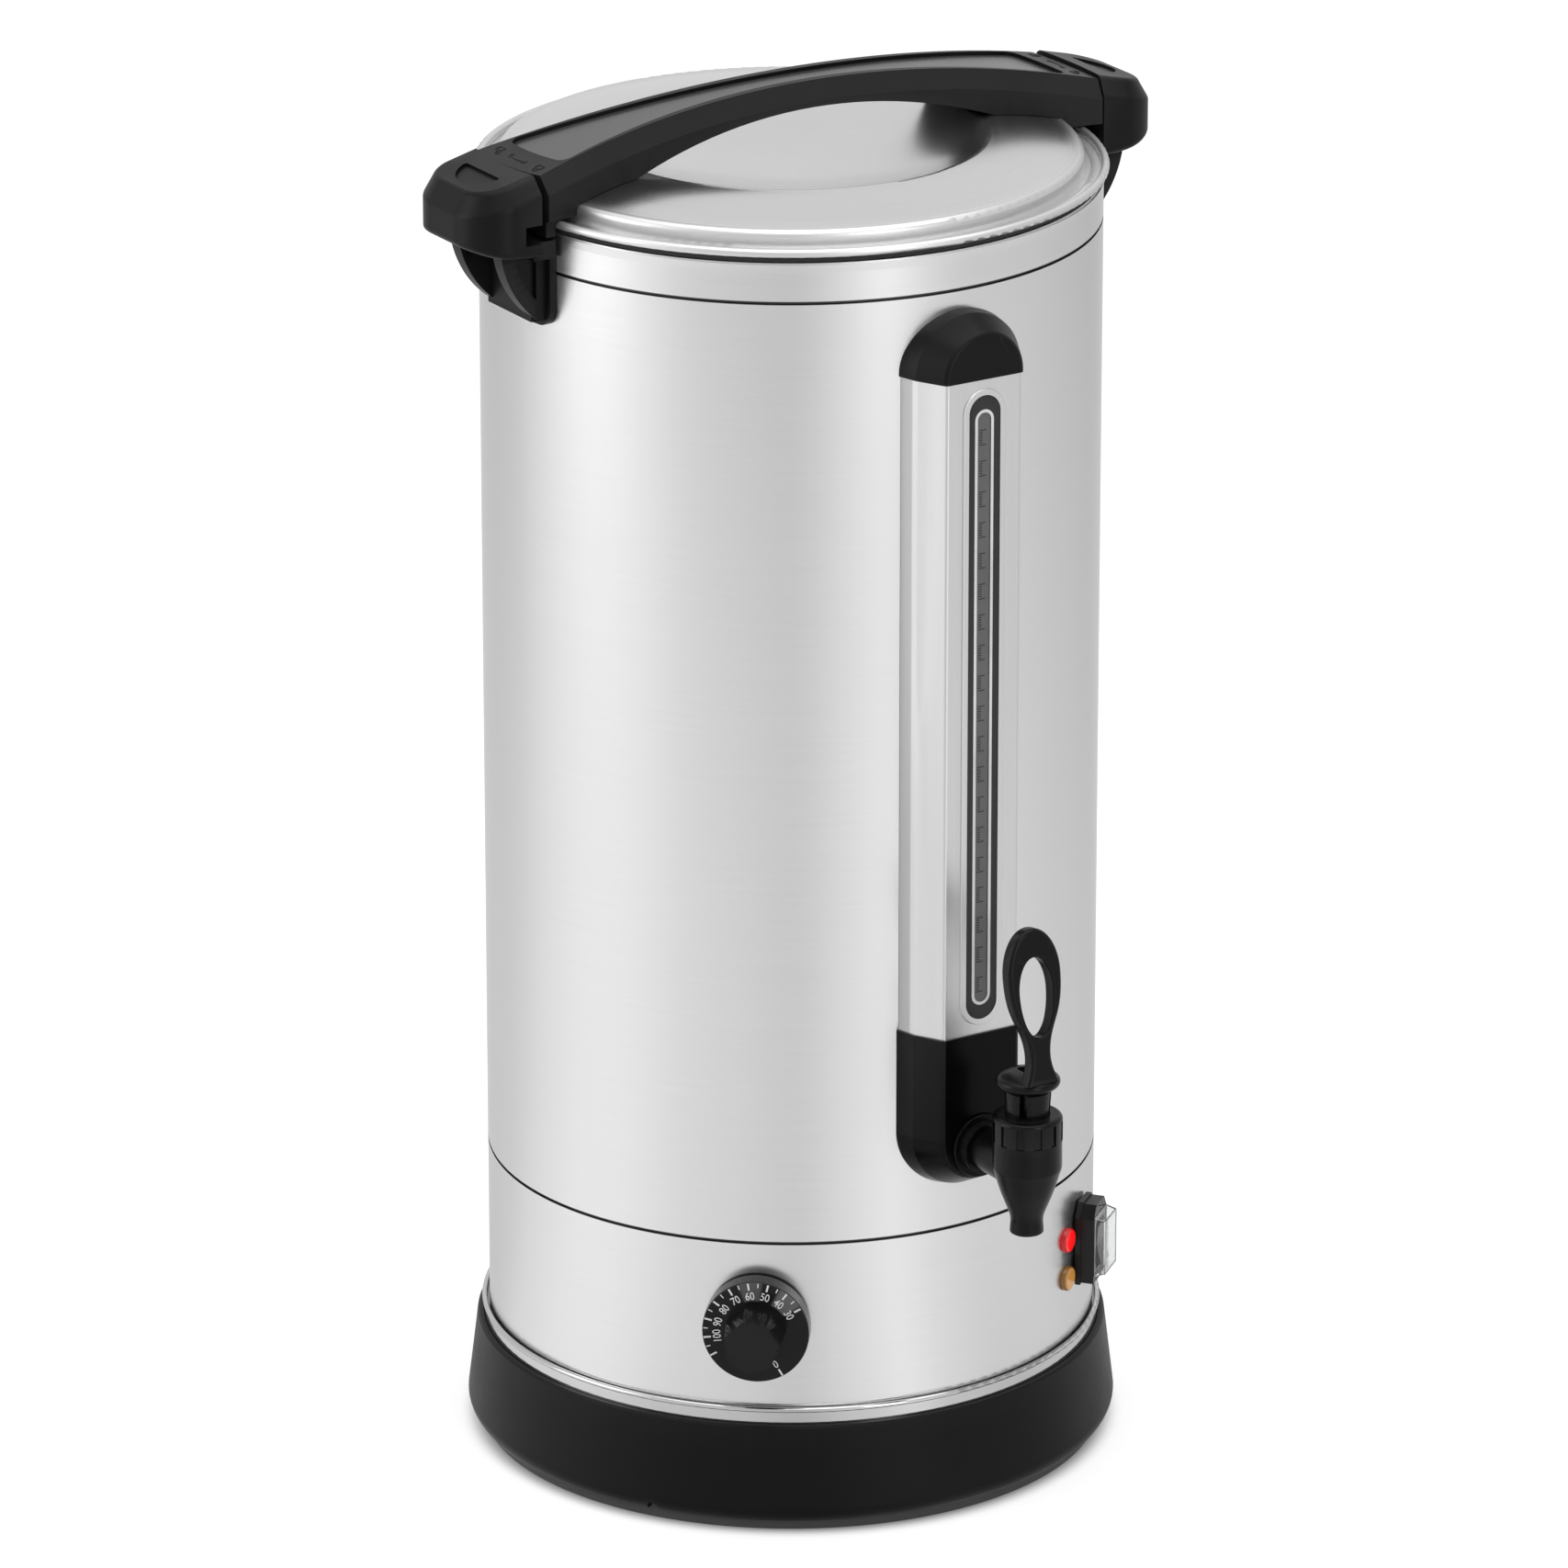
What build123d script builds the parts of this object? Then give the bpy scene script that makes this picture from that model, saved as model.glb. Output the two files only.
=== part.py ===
from build123d import *
from math import cos, radians, sin, sqrt
import os

# Hot water urn. Millimetres, +Z up. The origin lies on the standing plane, on the axis of the tank.
# The tap faces -Y, the lid bar and the two side handles lie along X.
# Azimuths are degrees from the tap, positive towards +X. A "stand-off" is measured outwards from the jacket.

# ---------------------------------------------------------------- driving dimensions
# Round body, from the floor up
body_radius = 150.0
body_sheet = 0.6
skirt_height = 55.0
control_height = 93.4
jacket_height = 474.0
collar_height = 19.3
seam_gap = 1.2
joggle_height = 10.0

# Plinth
skirt_flare = 11.0
skirt_wall = 3.2
skirt_ledge_width = 18.0
skirt_ledge_thickness = 3.0
skirt_notch_radius = 3.0
skirt_notch_azimuth = -57.0
skirt_clearance = 6.0
foot_radius = 11.0
foot_height = 8.0
foot_plug_radius = 5.0
foot_plug_height = 10.0
foot_count = 4
tray_sheet = 0.8
tray_stand_off = 2.8
tray_bead_radius = 1.3
tray_wall_height = 10.2
base_screw_radius = 2.0
base_screw_head_radius = 4.0
base_screw_head_height = 2.6

# Tank and heater
tank_air_gap = 7.3
tank_floor_gap = 14.0
tank_corner_radius = 8.0
heater_plate_radius = 90.0
heater_plate_thickness = 6.0
heater_tube_radius = 4.0
heater_coil_radius = 66.0
cutout_radius = 8.0
cutout_height = 9.0

# Lid
lid_sheet = 0.8
lid_bead_radius = 2.1
lid_bead_overhang = 2.7
lid_wall_height = 9.3
lid_dome_rise = 6.2
lid_dish_radius = 94.6
lid_dish_depth = 19.0
lid_ring_depth = 10.0
lid_ridge_set_back = 5.0
gasket_width = 5.0
gasket_thickness = 2.7

# Lid bar
bar_top_rise = 29.0
bar_sag = 20.0
bar_middle_half_width = 18.5
bar_end_half_width = 33.0
bar_chamfer_out = 6.0
bar_chamfer_down = 9.0
bar_middle_depth = 11.7
bar_arch_start = 112.0
bar_arch_depth = 34.0
bar_foot_gap = 0.6
bar_end_stand_off = 9.3
bar_end_skew = 1.4
bar_tab_width = 11.0
bar_tab_gap = 3.0
bar_inlay_margin = 4.1
bar_inlay_thickness = 2.0
bar_inlay_recess = 1.9
bar_inlay_end_gap = 15.5
bar_inlay_corner = 5.0
bar_screw_radius = 2.0

# Side handles
handle_inner_gap = 0.8
handle_reach = 44.0
handle_rise = 30.0
handle_block_height = 33.0
handle_top_fall = 8.0
handle_half_width = 33.0
handle_corner_radius = 22.0
handle_crease_round = 4.0
handle_crown_round = 4.0
handle_hem_round = 3.5
handle_belly = 6.0
handle_plate_half_width = 27.5
handle_plate_thickness = 3.2
handle_plate_drop = 44.0
handle_plate_corner = 8.0
handle_rib_offset = 20.0
handle_rib_thickness = 8.0
handle_recess_depth = 1.3
handle_screw_radius = 2.5

# Gauge column
column_stand_off = 21.0
column_front_half_width = 20.5
column_fold_half_width = 28.2
column_fold_back = 14.0
column_foot_half_width = 31.0
column_sheet = 0.8
column_foot_rise = 57.3
column_top_gap = 38.5
cover_proud = 0.9
cover_wall = 2.0
cover_overlap = 6.0
cap_rise = 27.6
foot_cover_length = 52.5
gauge_slot_width = 17.4
gauge_slot_margin = 7.6
gauge_rim_width = 3.0
gauge_rim_height = 0.8
window_width = 7.2
bezel_thickness = 1.6
sight_tube_radius = 4.0
sight_tube_wall = 0.8

# Tap
tap_reach = 63.0
tap_height = 198.2
shank_radius = 9.0
shank_bore_radius = 6.0
tap_body_radius = 16.7
tap_drop = 30.7
spout_radius = 8.2
spout_bore_radius = 5.6
bonnet_height = 12.9
bonnet_rib_count = 12
guide_radius = 11.3
guide_height = 14.0
stem_radius = 2.2
lever_disc_radius = 15.5
lever_disc_height = 6.5
lever_lean = 8.6
lever_thickness = 8.0
spring_wire_radius = 0.45
spring_turns = 4.0

# Controls on the lower band
knob_azimuth = -38.1
knob_height = 106.4
knob_radius = 26.0
knob_thickness = 9.4
grip_height = 20.0
grip_radius = 15.0
grip_taper = 3.0
grip_sides = 7
lamp_azimuth = 32.2
lamp_radius = 6.2
lamp_high = 115.6
lamp_low = 95.4
switch_azimuth = 40.0
switch_height = 110.0
switch_width = 24.0
switch_length = 42.0
switch_depth = 10.0
switch_cover_depth = 5.6
rocker_width = 12.0
rocker_length = 24.0
gland_azimuth = 180.0
gland_height = 85.0
gland_bore_radius = 3.6

# Clearances
slip = 0.1
running = 0.06
apart = 0.3

# ---------------------------------------------------------------- heights and radii that follow
seam_low = skirt_height + control_height
seam_high = seam_low + jacket_height
rim_height = seam_high + collar_height
ledge_top = skirt_height - skirt_ledge_thickness
tray_floor_top = ledge_top + tray_sheet
tray_radius = body_radius + tray_stand_off
body_inner = body_radius - body_sheet
joggle_radius = body_inner - 2 * slip
tank_outer = body_inner - tank_air_gap
tank_inner = tank_outer - body_sheet
tank_floor = seam_low + tank_floor_gap
gasket_bottom = rim_height + 2 * slip
gasket_top = gasket_bottom + gasket_thickness
lid_trough = gasket_top + apart + lid_sheet
lid_bead_centre = lid_trough - lid_sheet + lid_bead_radius
lid_bead_ring = body_radius + lid_bead_overhang - lid_bead_radius
lid_wall_radius = tank_inner - 0.9
lid_shoulder = lid_trough + lid_wall_height
lid_crown = lid_shoulder + lid_dome_rise
bar_top = lid_crown + bar_top_rise
bar_end_radius = body_radius + bar_end_stand_off
bar_underside = bar_top - bar_middle_depth
handle_inner_radius = bar_end_radius + bar_end_skew + handle_inner_gap
handle_tip = body_radius + handle_reach
column_front = body_radius + column_stand_off
column_fold = column_front - column_fold_back
column_foot = sqrt(body_radius**2 - column_foot_half_width**2)
column_top = seam_high - column_top_gap
column_bottom = tap_height + column_foot_rise
column_length = column_top - column_bottom
tap_axis = body_radius + tap_reach
tap_shoulder = column_front + 3.0
tap_base = tap_height - tap_drop
bonnet_bottom = tap_height + tap_body_radius + 0.4
bonnet_top = bonnet_bottom + bonnet_height
guide_top = bonnet_top + guide_height
pin_height = guide_top + apart + lever_disc_height * 0.55


def panel(azimuth, stand_off=0.0, height=0.0):
    """A plane on the round body: x along the tangent, y up, z outwards."""
    angle = radians(azimuth)
    outwards = (sin(angle), -cos(angle), 0)
    reach = body_radius + stand_off
    return Plane(
        origin=(reach * outwards[0], reach * outwards[1], height),
        x_dir=(cos(angle), sin(angle), 0),
        z_dir=outwards,
    )


def front(reach, height=0.0):
    """An upright plane across the tap's axis, at this distance in front of the tank's axis."""
    return Plane(origin=(0, -reach, height), x_dir=(1, 0, 0), z_dir=(0, -1, 0))


pieces = {}

# ---------------------------------------------------------------- plinth
skirt_land = 2.2
skirt_bevel = (1.0, 1.2)
skirt_bend_height = 13.0
skirt_toe = 3.5
skirt_toe_bulge = (0.7, 3.5)
stand_set_back = 0.8
stand_web_height = 10.6
stand_web_reach = 1.6
foot_socket_wall = 1.5
foot_ring = body_radius - 12
base_screw_ring = body_radius - 6
base_screw_slot = (1.0, 5.0)
base_nut_radius = 3.5
with BuildPart() as base_skirt:
    with BuildSketch(Plane.XZ):
        with BuildLine():
            Polyline(
                (tray_radius - skirt_ledge_width, skirt_height - skirt_ledge_thickness),
                (tray_radius + slip * 3, skirt_height - skirt_ledge_thickness),
                (tray_radius + slip * 3, skirt_height),
                (tray_radius + skirt_land, skirt_height),
                (tray_radius + skirt_land + skirt_bevel[0], skirt_height - skirt_bevel[1]),
                (body_radius + skirt_flare, skirt_bend_height),
            )
            ThreePointArc(
                (body_radius + skirt_flare, skirt_bend_height),
                (
                    body_radius + skirt_flare - skirt_toe_bulge[0],
                    skirt_clearance + skirt_toe_bulge[1],
                ),
                (body_radius + skirt_flare - skirt_toe, skirt_clearance),
            )
            Polyline(
                (body_radius + skirt_flare - skirt_toe, skirt_clearance),
                (body_radius + skirt_flare - skirt_toe - skirt_wall, skirt_clearance),
                (body_radius + skirt_flare - skirt_wall, skirt_bend_height),
                (tray_radius, skirt_height - 2 * skirt_ledge_thickness),
                (tray_radius - skirt_ledge_width, skirt_height - 2 * skirt_ledge_thickness),
                (tray_radius - skirt_ledge_width, skirt_height - skirt_ledge_thickness),
            )
        make_face()
    revolve(axis=Axis.Z)
    socket_height = skirt_height - 2 * skirt_ledge_thickness - foot_height
    with BuildSketch(Plane.XY.offset(foot_height)):
        with PolarLocations(foot_ring, foot_count, start_angle=45):
            Circle(foot_radius + foot_socket_wall)
    extrude(amount=socket_height + slip)
    with BuildSketch(Plane.XY.offset(foot_height)):
        with PolarLocations(foot_ring, foot_count, start_angle=45):
            Circle(foot_plug_radius)
    extrude(amount=foot_plug_height + 1, mode=Mode.SUBTRACT)
    with BuildSketch(Plane.XY.offset(ledge_top)):
        with PolarLocations(base_screw_ring, foot_count):
            Circle(base_screw_radius + slip)
    extrude(amount=-skirt_ledge_thickness, mode=Mode.SUBTRACT)
    with BuildSketch(panel(skirt_notch_azimuth, 0, skirt_clearance)):
        Circle(skirt_notch_radius)
        with Locations((0, skirt_notch_radius / 2)):
            Circle(skirt_notch_radius)
    extrude(amount=skirt_flare + 2, mode=Mode.SUBTRACT)
    stand_outer = body_radius + skirt_flare - skirt_toe - skirt_wall - stand_set_back
    stand_joint = body_radius + skirt_flare - stand_web_reach
    with BuildSketch(Plane.XZ):
        with BuildLine():
            Polyline(
                (stand_outer - skirt_wall, 0),
                (stand_outer, 0),
                (stand_outer, stand_web_height),
                (stand_joint, stand_web_height),
                (stand_joint, skirt_bend_height),
                (stand_outer - skirt_wall, skirt_bend_height),
                close=True,
            )
        make_face()
    revolve(axis=Axis.Z)
pieces["base_skirt"] = base_skirt

with BuildPart() as base_feet:
    with BuildSketch():
        with PolarLocations(foot_ring, foot_count, start_angle=45):
            Circle(foot_radius)
    extrude(amount=foot_height)
    with BuildSketch(Plane.XY.offset(foot_height)):
        with PolarLocations(foot_ring, foot_count, start_angle=45):
            Circle(foot_plug_radius - slip)
    extrude(amount=foot_plug_height)
pieces["base_feet"] = base_feet

with BuildPart() as base_tray:
    with BuildSketch(Plane.XY.offset(ledge_top)):
        Circle(tray_radius)
    extrude(amount=tray_wall_height)
    with BuildSketch(Plane.XY.offset(tray_floor_top)):
        Circle(tray_radius - tray_sheet)
    extrude(amount=tray_wall_height, mode=Mode.SUBTRACT)
    with BuildSketch(Plane.XZ):
        with Locations((tray_radius - tray_sheet / 2, ledge_top + tray_wall_height)):
            Circle(tray_bead_radius)
    revolve(axis=Axis.Z)
    with BuildSketch(Plane.XY.offset(ledge_top)):
        with PolarLocations(base_screw_ring, foot_count):
            Circle(base_screw_radius + slip)
    extrude(amount=tray_sheet, mode=Mode.SUBTRACT)
pieces["base_tray"] = base_tray

screw_head_top = ledge_top - skirt_ledge_thickness
nut_height = 3.2
with BuildPart() as base_screws:
    with BuildSketch(Plane.XY.offset(screw_head_top - base_screw_head_height)):
        with PolarLocations(base_screw_ring, foot_count):
            Circle(base_screw_head_radius)
    extrude(amount=base_screw_head_height)
    with BuildSketch(Plane.XY.offset(screw_head_top)):
        with PolarLocations(base_screw_ring, foot_count):
            Circle(base_screw_radius)
    extrude(amount=skirt_ledge_thickness + tray_sheet + nut_height + 1)
    with PolarLocations(base_screw_ring, foot_count):
        with Locations((0, 0, screw_head_top - base_screw_head_height)):
            slot_width, slot_span = base_screw_slot
            slot_align = (Align.CENTER, Align.CENTER, Align.MIN)
            Box(slot_width, slot_span, slot_width, align=slot_align, mode=Mode.SUBTRACT)
            Box(slot_span, slot_width, slot_width, align=slot_align, mode=Mode.SUBTRACT)
pieces["base_screws"] = base_screws

with BuildPart() as base_nuts:
    with BuildSketch(Plane.XY.offset(tray_floor_top)):
        with PolarLocations(base_screw_ring, foot_count):
            RegularPolygon(base_nut_radius, 6, major_radius=False)
            Circle(base_screw_radius + running, mode=Mode.SUBTRACT)
    extrude(amount=nut_height)
pieces["base_nuts"] = base_nuts

# ---------------------------------------------------------------- round body
joggle_step = 3.0
panel_cut = 12.0
lamp_heights = (lamp_high, lamp_low)
lamp_barrel_radius = lamp_radius - 1.2
thermostat_shaft_radius = 3.0
thermostat_screw_pitch = 28.0
thermostat_screw_radius = 2.0
gland_radius = 6.0

with BuildPart() as control_band:
    with BuildSketch(Plane.XZ):
        with BuildLine():
            Polyline(
                (body_inner, tray_floor_top),
                (body_radius, tray_floor_top),
                (body_radius, seam_low - seam_gap / 2),
                (joggle_radius, seam_low - seam_gap / 2),
                (joggle_radius, seam_low + joggle_height),
                (joggle_radius - body_sheet, seam_low + joggle_height),
                (joggle_radius - body_sheet, seam_low - joggle_step),
                (body_inner, seam_low - joggle_step),
                (body_inner, tray_floor_top),
            )
        make_face()
    revolve(axis=Axis.Z)
    with BuildSketch(panel(knob_azimuth, -10, knob_height)):
        Circle(thermostat_shaft_radius + 2)
        with GridLocations(0, thermostat_screw_pitch, 1, 2):
            Circle(thermostat_screw_radius + slip)
    extrude(amount=panel_cut, mode=Mode.SUBTRACT)
    for lamp_height in lamp_heights:
        with BuildSketch(panel(lamp_azimuth, -10, lamp_height)):
            Circle(lamp_barrel_radius + slip)
        extrude(amount=panel_cut, mode=Mode.SUBTRACT)
    with BuildSketch(panel(switch_azimuth, -10, switch_height)):
        Rectangle(switch_width - 6, switch_length - 12)
    extrude(amount=panel_cut, mode=Mode.SUBTRACT)
    with BuildSketch(panel(gland_azimuth, -10, gland_height)):
        Circle(gland_radius + slip)
    extrude(amount=panel_cut, mode=Mode.SUBTRACT)
pieces["control_band"] = control_band

handle_screw_heights = (seam_high - 14.5, seam_high + 9.5)
with BuildPart() as outer_jacket:
    with BuildSketch(Plane.XY.offset(seam_low + seam_gap / 2)):
        Circle(body_radius)
        Circle(body_inner, mode=Mode.SUBTRACT)
    extrude(amount=jacket_height - seam_gap)
    with BuildSketch(front(0, tap_height)):
        Circle(shank_radius + 5)
    extrude(amount=body_radius + 1, mode=Mode.SUBTRACT)
    with BuildSketch(Plane.YZ):
        with Locations((0, handle_screw_heights[0])):
            Circle(handle_screw_radius + slip)
    extrude(amount=body_radius + 1, both=True, mode=Mode.SUBTRACT)
pieces["outer_jacket"] = outer_jacket

collar_lip_inner = tank_outer + 1.2
collar_roll = 4.5
with BuildPart() as rim_collar:
    with BuildSketch(Plane.XZ):
        with BuildLine():
            Polyline(
                (joggle_radius - body_sheet, seam_high - joggle_height),
                (joggle_radius, seam_high - joggle_height),
                (joggle_radius, seam_high + seam_gap / 2),
                (body_radius, seam_high + seam_gap / 2),
                (body_radius, rim_height - collar_roll),
                (body_radius + 2 * slip, rim_height - body_sheet),
                (collar_lip_inner, rim_height - body_sheet),
                (collar_lip_inner, rim_height - 2 * body_sheet),
                (body_inner, rim_height - 2 * body_sheet),
                (body_inner, seam_high + joggle_step),
                (joggle_radius - body_sheet, seam_high + joggle_step),
                (joggle_radius - body_sheet, seam_high - joggle_height),
            )
        make_face()
    revolve(axis=Axis.Z)
    with BuildSketch(Plane.YZ):
        with Locations((0, handle_screw_heights[1])):
            Circle(handle_screw_radius + slip)
    extrude(amount=body_radius + 1, both=True, mode=Mode.SUBTRACT)
pieces["rim_collar"] = rim_collar

with BuildPart() as inner_tank:
    with BuildSketch(Plane.XY.offset(tank_floor)):
        Circle(tank_outer)
    extrude(amount=rim_height - tank_floor)
    fillet(inner_tank.faces().sort_by(Axis.Z)[0].edges(), tank_corner_radius)
    offset(amount=-body_sheet, openings=inner_tank.faces().sort_by(Axis.Z)[-1])
    with BuildSketch(Plane.XY.offset(rim_height - body_sheet)):
        Circle(body_radius - 1.0)
        Circle(tank_inner, mode=Mode.SUBTRACT)
    extrude(amount=body_sheet)
    with BuildSketch(front(0, tap_height)):
        Circle(shank_radius + slip)
    extrude(amount=body_radius, mode=Mode.SUBTRACT)
pieces["inner_tank"] = inner_tank

# ---------------------------------------------------------------- heater and wiring in the base
plate_top = tank_floor - slip
plate_bottom = plate_top - heater_plate_thickness
with BuildPart() as heater_plate:
    with BuildSketch(Plane.XY.offset(plate_bottom)):
        Circle(heater_plate_radius)
    extrude(amount=heater_plate_thickness)
    chamfer(heater_plate.edges().group_by(Axis.Z)[0], 1.5)
pieces["heater_plate"] = heater_plate

coil_height = plate_bottom - heater_tube_radius - slip
coil_gap_angle = 30
with BuildPart() as heating_element:
    with BuildSketch(Plane.XZ):
        with Locations((heater_coil_radius, coil_height)):
            Circle(heater_tube_radius)
    revolve(axis=Axis.Z, revolution_arc=360 - coil_gap_angle)
    for end_angle in (0, 360 - coil_gap_angle):
        with BuildSketch(Plane.XY.offset(coil_height - 14)):
            with PolarLocations(heater_coil_radius, 1, start_angle=end_angle):
                Circle(heater_tube_radius)
        extrude(amount=14)
pieces["heating_element"] = heating_element

with BuildPart() as thermal_cutouts:
    with BuildSketch(Plane.XY.offset(plate_bottom - cutout_height - slip)):
        with GridLocations(40, 0, 2, 1):
            Circle(cutout_radius)
    extrude(amount=cutout_height)
    with BuildSketch(Plane.XY.offset(plate_bottom - cutout_height - slip)):
        with GridLocations(40, 0, 2, 1):
            with GridLocations(8, 0, 2, 1):
                Rectangle(0.8, 5)
    extrude(amount=-7)
pieces["thermal_cutouts"] = thermal_cutouts

with BuildPart() as terminal_block:
    with BuildSketch(Plane.XY.offset(tray_floor_top)):
        with Locations((0, body_radius - 55)):
            RectangleRounded(48, 22, 2)
    extrude(amount=16)
    with BuildSketch(Plane.XY.offset(tray_floor_top + 16)):
        with Locations((0, body_radius - 55)):
            with GridLocations(12, 10, 4, 2):
                Circle(2.6)
    extrude(amount=-7, mode=Mode.SUBTRACT)
pieces["terminal_block"] = terminal_block

gland_nut_height = 4.0
gland_flange_radius = 10.0
with BuildPart() as cable_gland:
    with BuildSketch(panel(gland_azimuth, -11, gland_height)):
        Circle(gland_radius)
    extrude(amount=11)
    with BuildSketch(panel(gland_azimuth, slip, gland_height)):
        Circle(gland_flange_radius)
    extrude(amount=3)
    with BuildSketch(panel(gland_azimuth, 3, gland_height)):
        Circle(gland_radius + 1.5)
    extrude(amount=10, taper=10)
    with BuildSketch(panel(gland_azimuth, -12, gland_height)):
        Circle(gland_bore_radius)
    extrude(amount=28, mode=Mode.SUBTRACT)
pieces["cable_gland"] = cable_gland

with BuildPart() as gland_nut:
    with BuildSketch(panel(gland_azimuth, -body_sheet - 0.4 - gland_nut_height, gland_height)):
        RegularPolygon(gland_radius + 3, 6, major_radius=False)
        Circle(gland_radius + running, mode=Mode.SUBTRACT)
    extrude(amount=gland_nut_height)
pieces["gland_nut"] = gland_nut

# ---------------------------------------------------------------- thermostat and its knob
thermostat_size = 36.0
thermostat_depth = 26.0
thermostat_back = -1.4 - thermostat_depth
knob_back = 1.7
knob_front = knob_back + knob_thickness
grip_corner_angle = 5.3
with BuildPart() as thermostat_body:
    with BuildSketch(panel(knob_azimuth, thermostat_back, knob_height)):
        RectangleRounded(thermostat_size * 0.7, thermostat_size, 3)
        Circle(thermostat_shaft_radius + running, mode=Mode.SUBTRACT)
        with GridLocations(0, thermostat_screw_pitch, 1, 2):
            Circle(thermostat_screw_radius + running, mode=Mode.SUBTRACT)
    extrude(amount=thermostat_depth)
pieces["thermostat_body"] = thermostat_body

with BuildPart() as thermostat_screws:
    with BuildSketch(panel(knob_azimuth, -14, knob_height)):
        with GridLocations(0, thermostat_screw_pitch, 1, 2):
            Circle(thermostat_screw_radius)
    extrude(amount=14 + slip)
    with BuildSketch(panel(knob_azimuth, slip, knob_height)):
        with GridLocations(0, thermostat_screw_pitch, 1, 2):
            Circle(thermostat_screw_radius + 1.6)
    extrude(amount=1.0)
pieces["thermostat_screws"] = thermostat_screws

shaft_flat = 0.8
with BuildPart() as thermostat_shaft:
    with BuildSketch(panel(knob_azimuth, thermostat_back + 2, knob_height)):
        Circle(thermostat_shaft_radius)
    extrude(amount=knob_front - thermostat_back - 2)
    with BuildSketch(panel(knob_azimuth, knob_back, knob_height)):
        with Locations((0, thermostat_shaft_radius)):
            Rectangle(8, 2 * shaft_flat)
    extrude(amount=knob_thickness + 1, mode=Mode.SUBTRACT)
pieces["thermostat_shaft"] = thermostat_shaft

with BuildPart() as thermostat_knob:
    with BuildSketch(panel(knob_azimuth, knob_back, knob_height)):
        Circle(knob_radius)
    extrude(amount=knob_thickness)
    fillet(thermostat_knob.edges().filter_by(GeomType.CIRCLE).sort_by(SortBy.DISTANCE)[-1], 0.8)
    with BuildSketch(panel(knob_azimuth, knob_front, knob_height)):
        RegularPolygon(grip_radius, grip_sides, rotation=grip_corner_angle)
    extrude(amount=grip_height, taper=grip_taper)
    with BuildSketch(panel(knob_azimuth, knob_back, knob_height)):
        Circle(thermostat_shaft_radius + running)
        with Locations((0, thermostat_shaft_radius + running)):
            Rectangle(8, 2 * shaft_flat, mode=Mode.SUBTRACT)
    extrude(amount=knob_thickness, mode=Mode.SUBTRACT)
pieces["thermostat_knob"] = thermostat_knob

bulb_radius = 3.0
bulb_length = 30.0
capillary_radius = 1.0
capillary_start = panel(knob_azimuth, -12, knob_height + thermostat_size / 2).origin
bulb_height = plate_bottom - bulb_radius - slip
bulb_end = panel(knob_azimuth, -45, bulb_height).origin
with BuildPart() as thermostat_capillary:
    with BuildLine() as capillary_route:
        FilletPolyline(
            tuple(capillary_start),
            (capillary_start.X, capillary_start.Y, bulb_height),
            tuple(bulb_end),
            radius=8.0,
        )
    with BuildSketch(Plane(origin=capillary_start, z_dir=(0, 0, 1))):
        Circle(capillary_radius)
    sweep(path=capillary_route.line)
    with BuildSketch(Plane(origin=bulb_end, z_dir=tuple(bulb_end - capillary_route.line @ 0.9))):
        Circle(bulb_radius)
    extrude(amount=bulb_length)
pieces["thermostat_capillary"] = thermostat_capillary

# ---------------------------------------------------------------- lamps and switch
lens_names = ("heating_lamp_lens", "keep_warm_lamp_lens")
for lens_name, lamp_height in zip(lens_names, lamp_heights):
    with BuildPart() as lamp_lens:
        with BuildSketch(panel(lamp_azimuth, 0.25, lamp_height)):
            Circle(lamp_radius)
        extrude(amount=2.6)
        fillet(lamp_lens.edges().filter_by(GeomType.CIRCLE).sort_by(SortBy.DISTANCE)[-1], 1.6)
    pieces[lens_name] = lamp_lens

with BuildPart() as lamp_holders:
    for lamp_height in lamp_heights:
        with BuildSketch(panel(lamp_azimuth, -18, lamp_height)):
            Circle(lamp_barrel_radius)
        extrude(amount=18.1)
        with BuildSketch(panel(lamp_azimuth, -body_sheet - 3.4, lamp_height)):
            Circle(lamp_radius + 1.0)
        extrude(amount=3.0)
pieces["lamp_holders"] = lamp_holders

switch_corner_across = 5.0
switch_corner_down = 7.0
cover_base = switch_depth
rocker_pivot = cover_base - 2.0
well_width = rocker_width + 2 * apart
well_length = rocker_length + 2 * apart
well_depth = 9.0
with BuildPart() as switch_housing:
    with BuildSketch(panel(switch_azimuth, -20, switch_height)):
        Rectangle(switch_width - 6 - 2 * slip, switch_length - 12 - 2 * slip)
    extrude(amount=20.7)
    with BuildSketch(panel(switch_azimuth, 0.7, switch_height)) as switch_outline:
        with BuildLine():
            Polyline(
                (-switch_width / 2, -switch_length / 2),
                (switch_width / 2, -switch_length / 2),
                (switch_width / 2, switch_length / 2 - switch_corner_down),
                (switch_width / 2 - switch_corner_across, switch_length / 2),
                (-switch_width / 2 + switch_corner_across, switch_length / 2),
                (-switch_width / 2, switch_length / 2 - switch_corner_down),
                close=True,
            )
        make_face()
    extrude(amount=2.8)
    with BuildSketch(panel(switch_azimuth, 3.5, switch_height)):
        add(switch_outline.sketch_local)
        offset(amount=-0.9, kind=Kind.INTERSECTION, mode=Mode.REPLACE)
    extrude(amount=switch_depth - 3.5)
    with BuildSketch(panel(switch_azimuth, cover_base - well_depth, switch_height - 1.5)):
        Rectangle(well_width, well_length)
    extrude(amount=well_depth + 1, mode=Mode.SUBTRACT)
pieces["switch_housing"] = switch_housing

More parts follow.
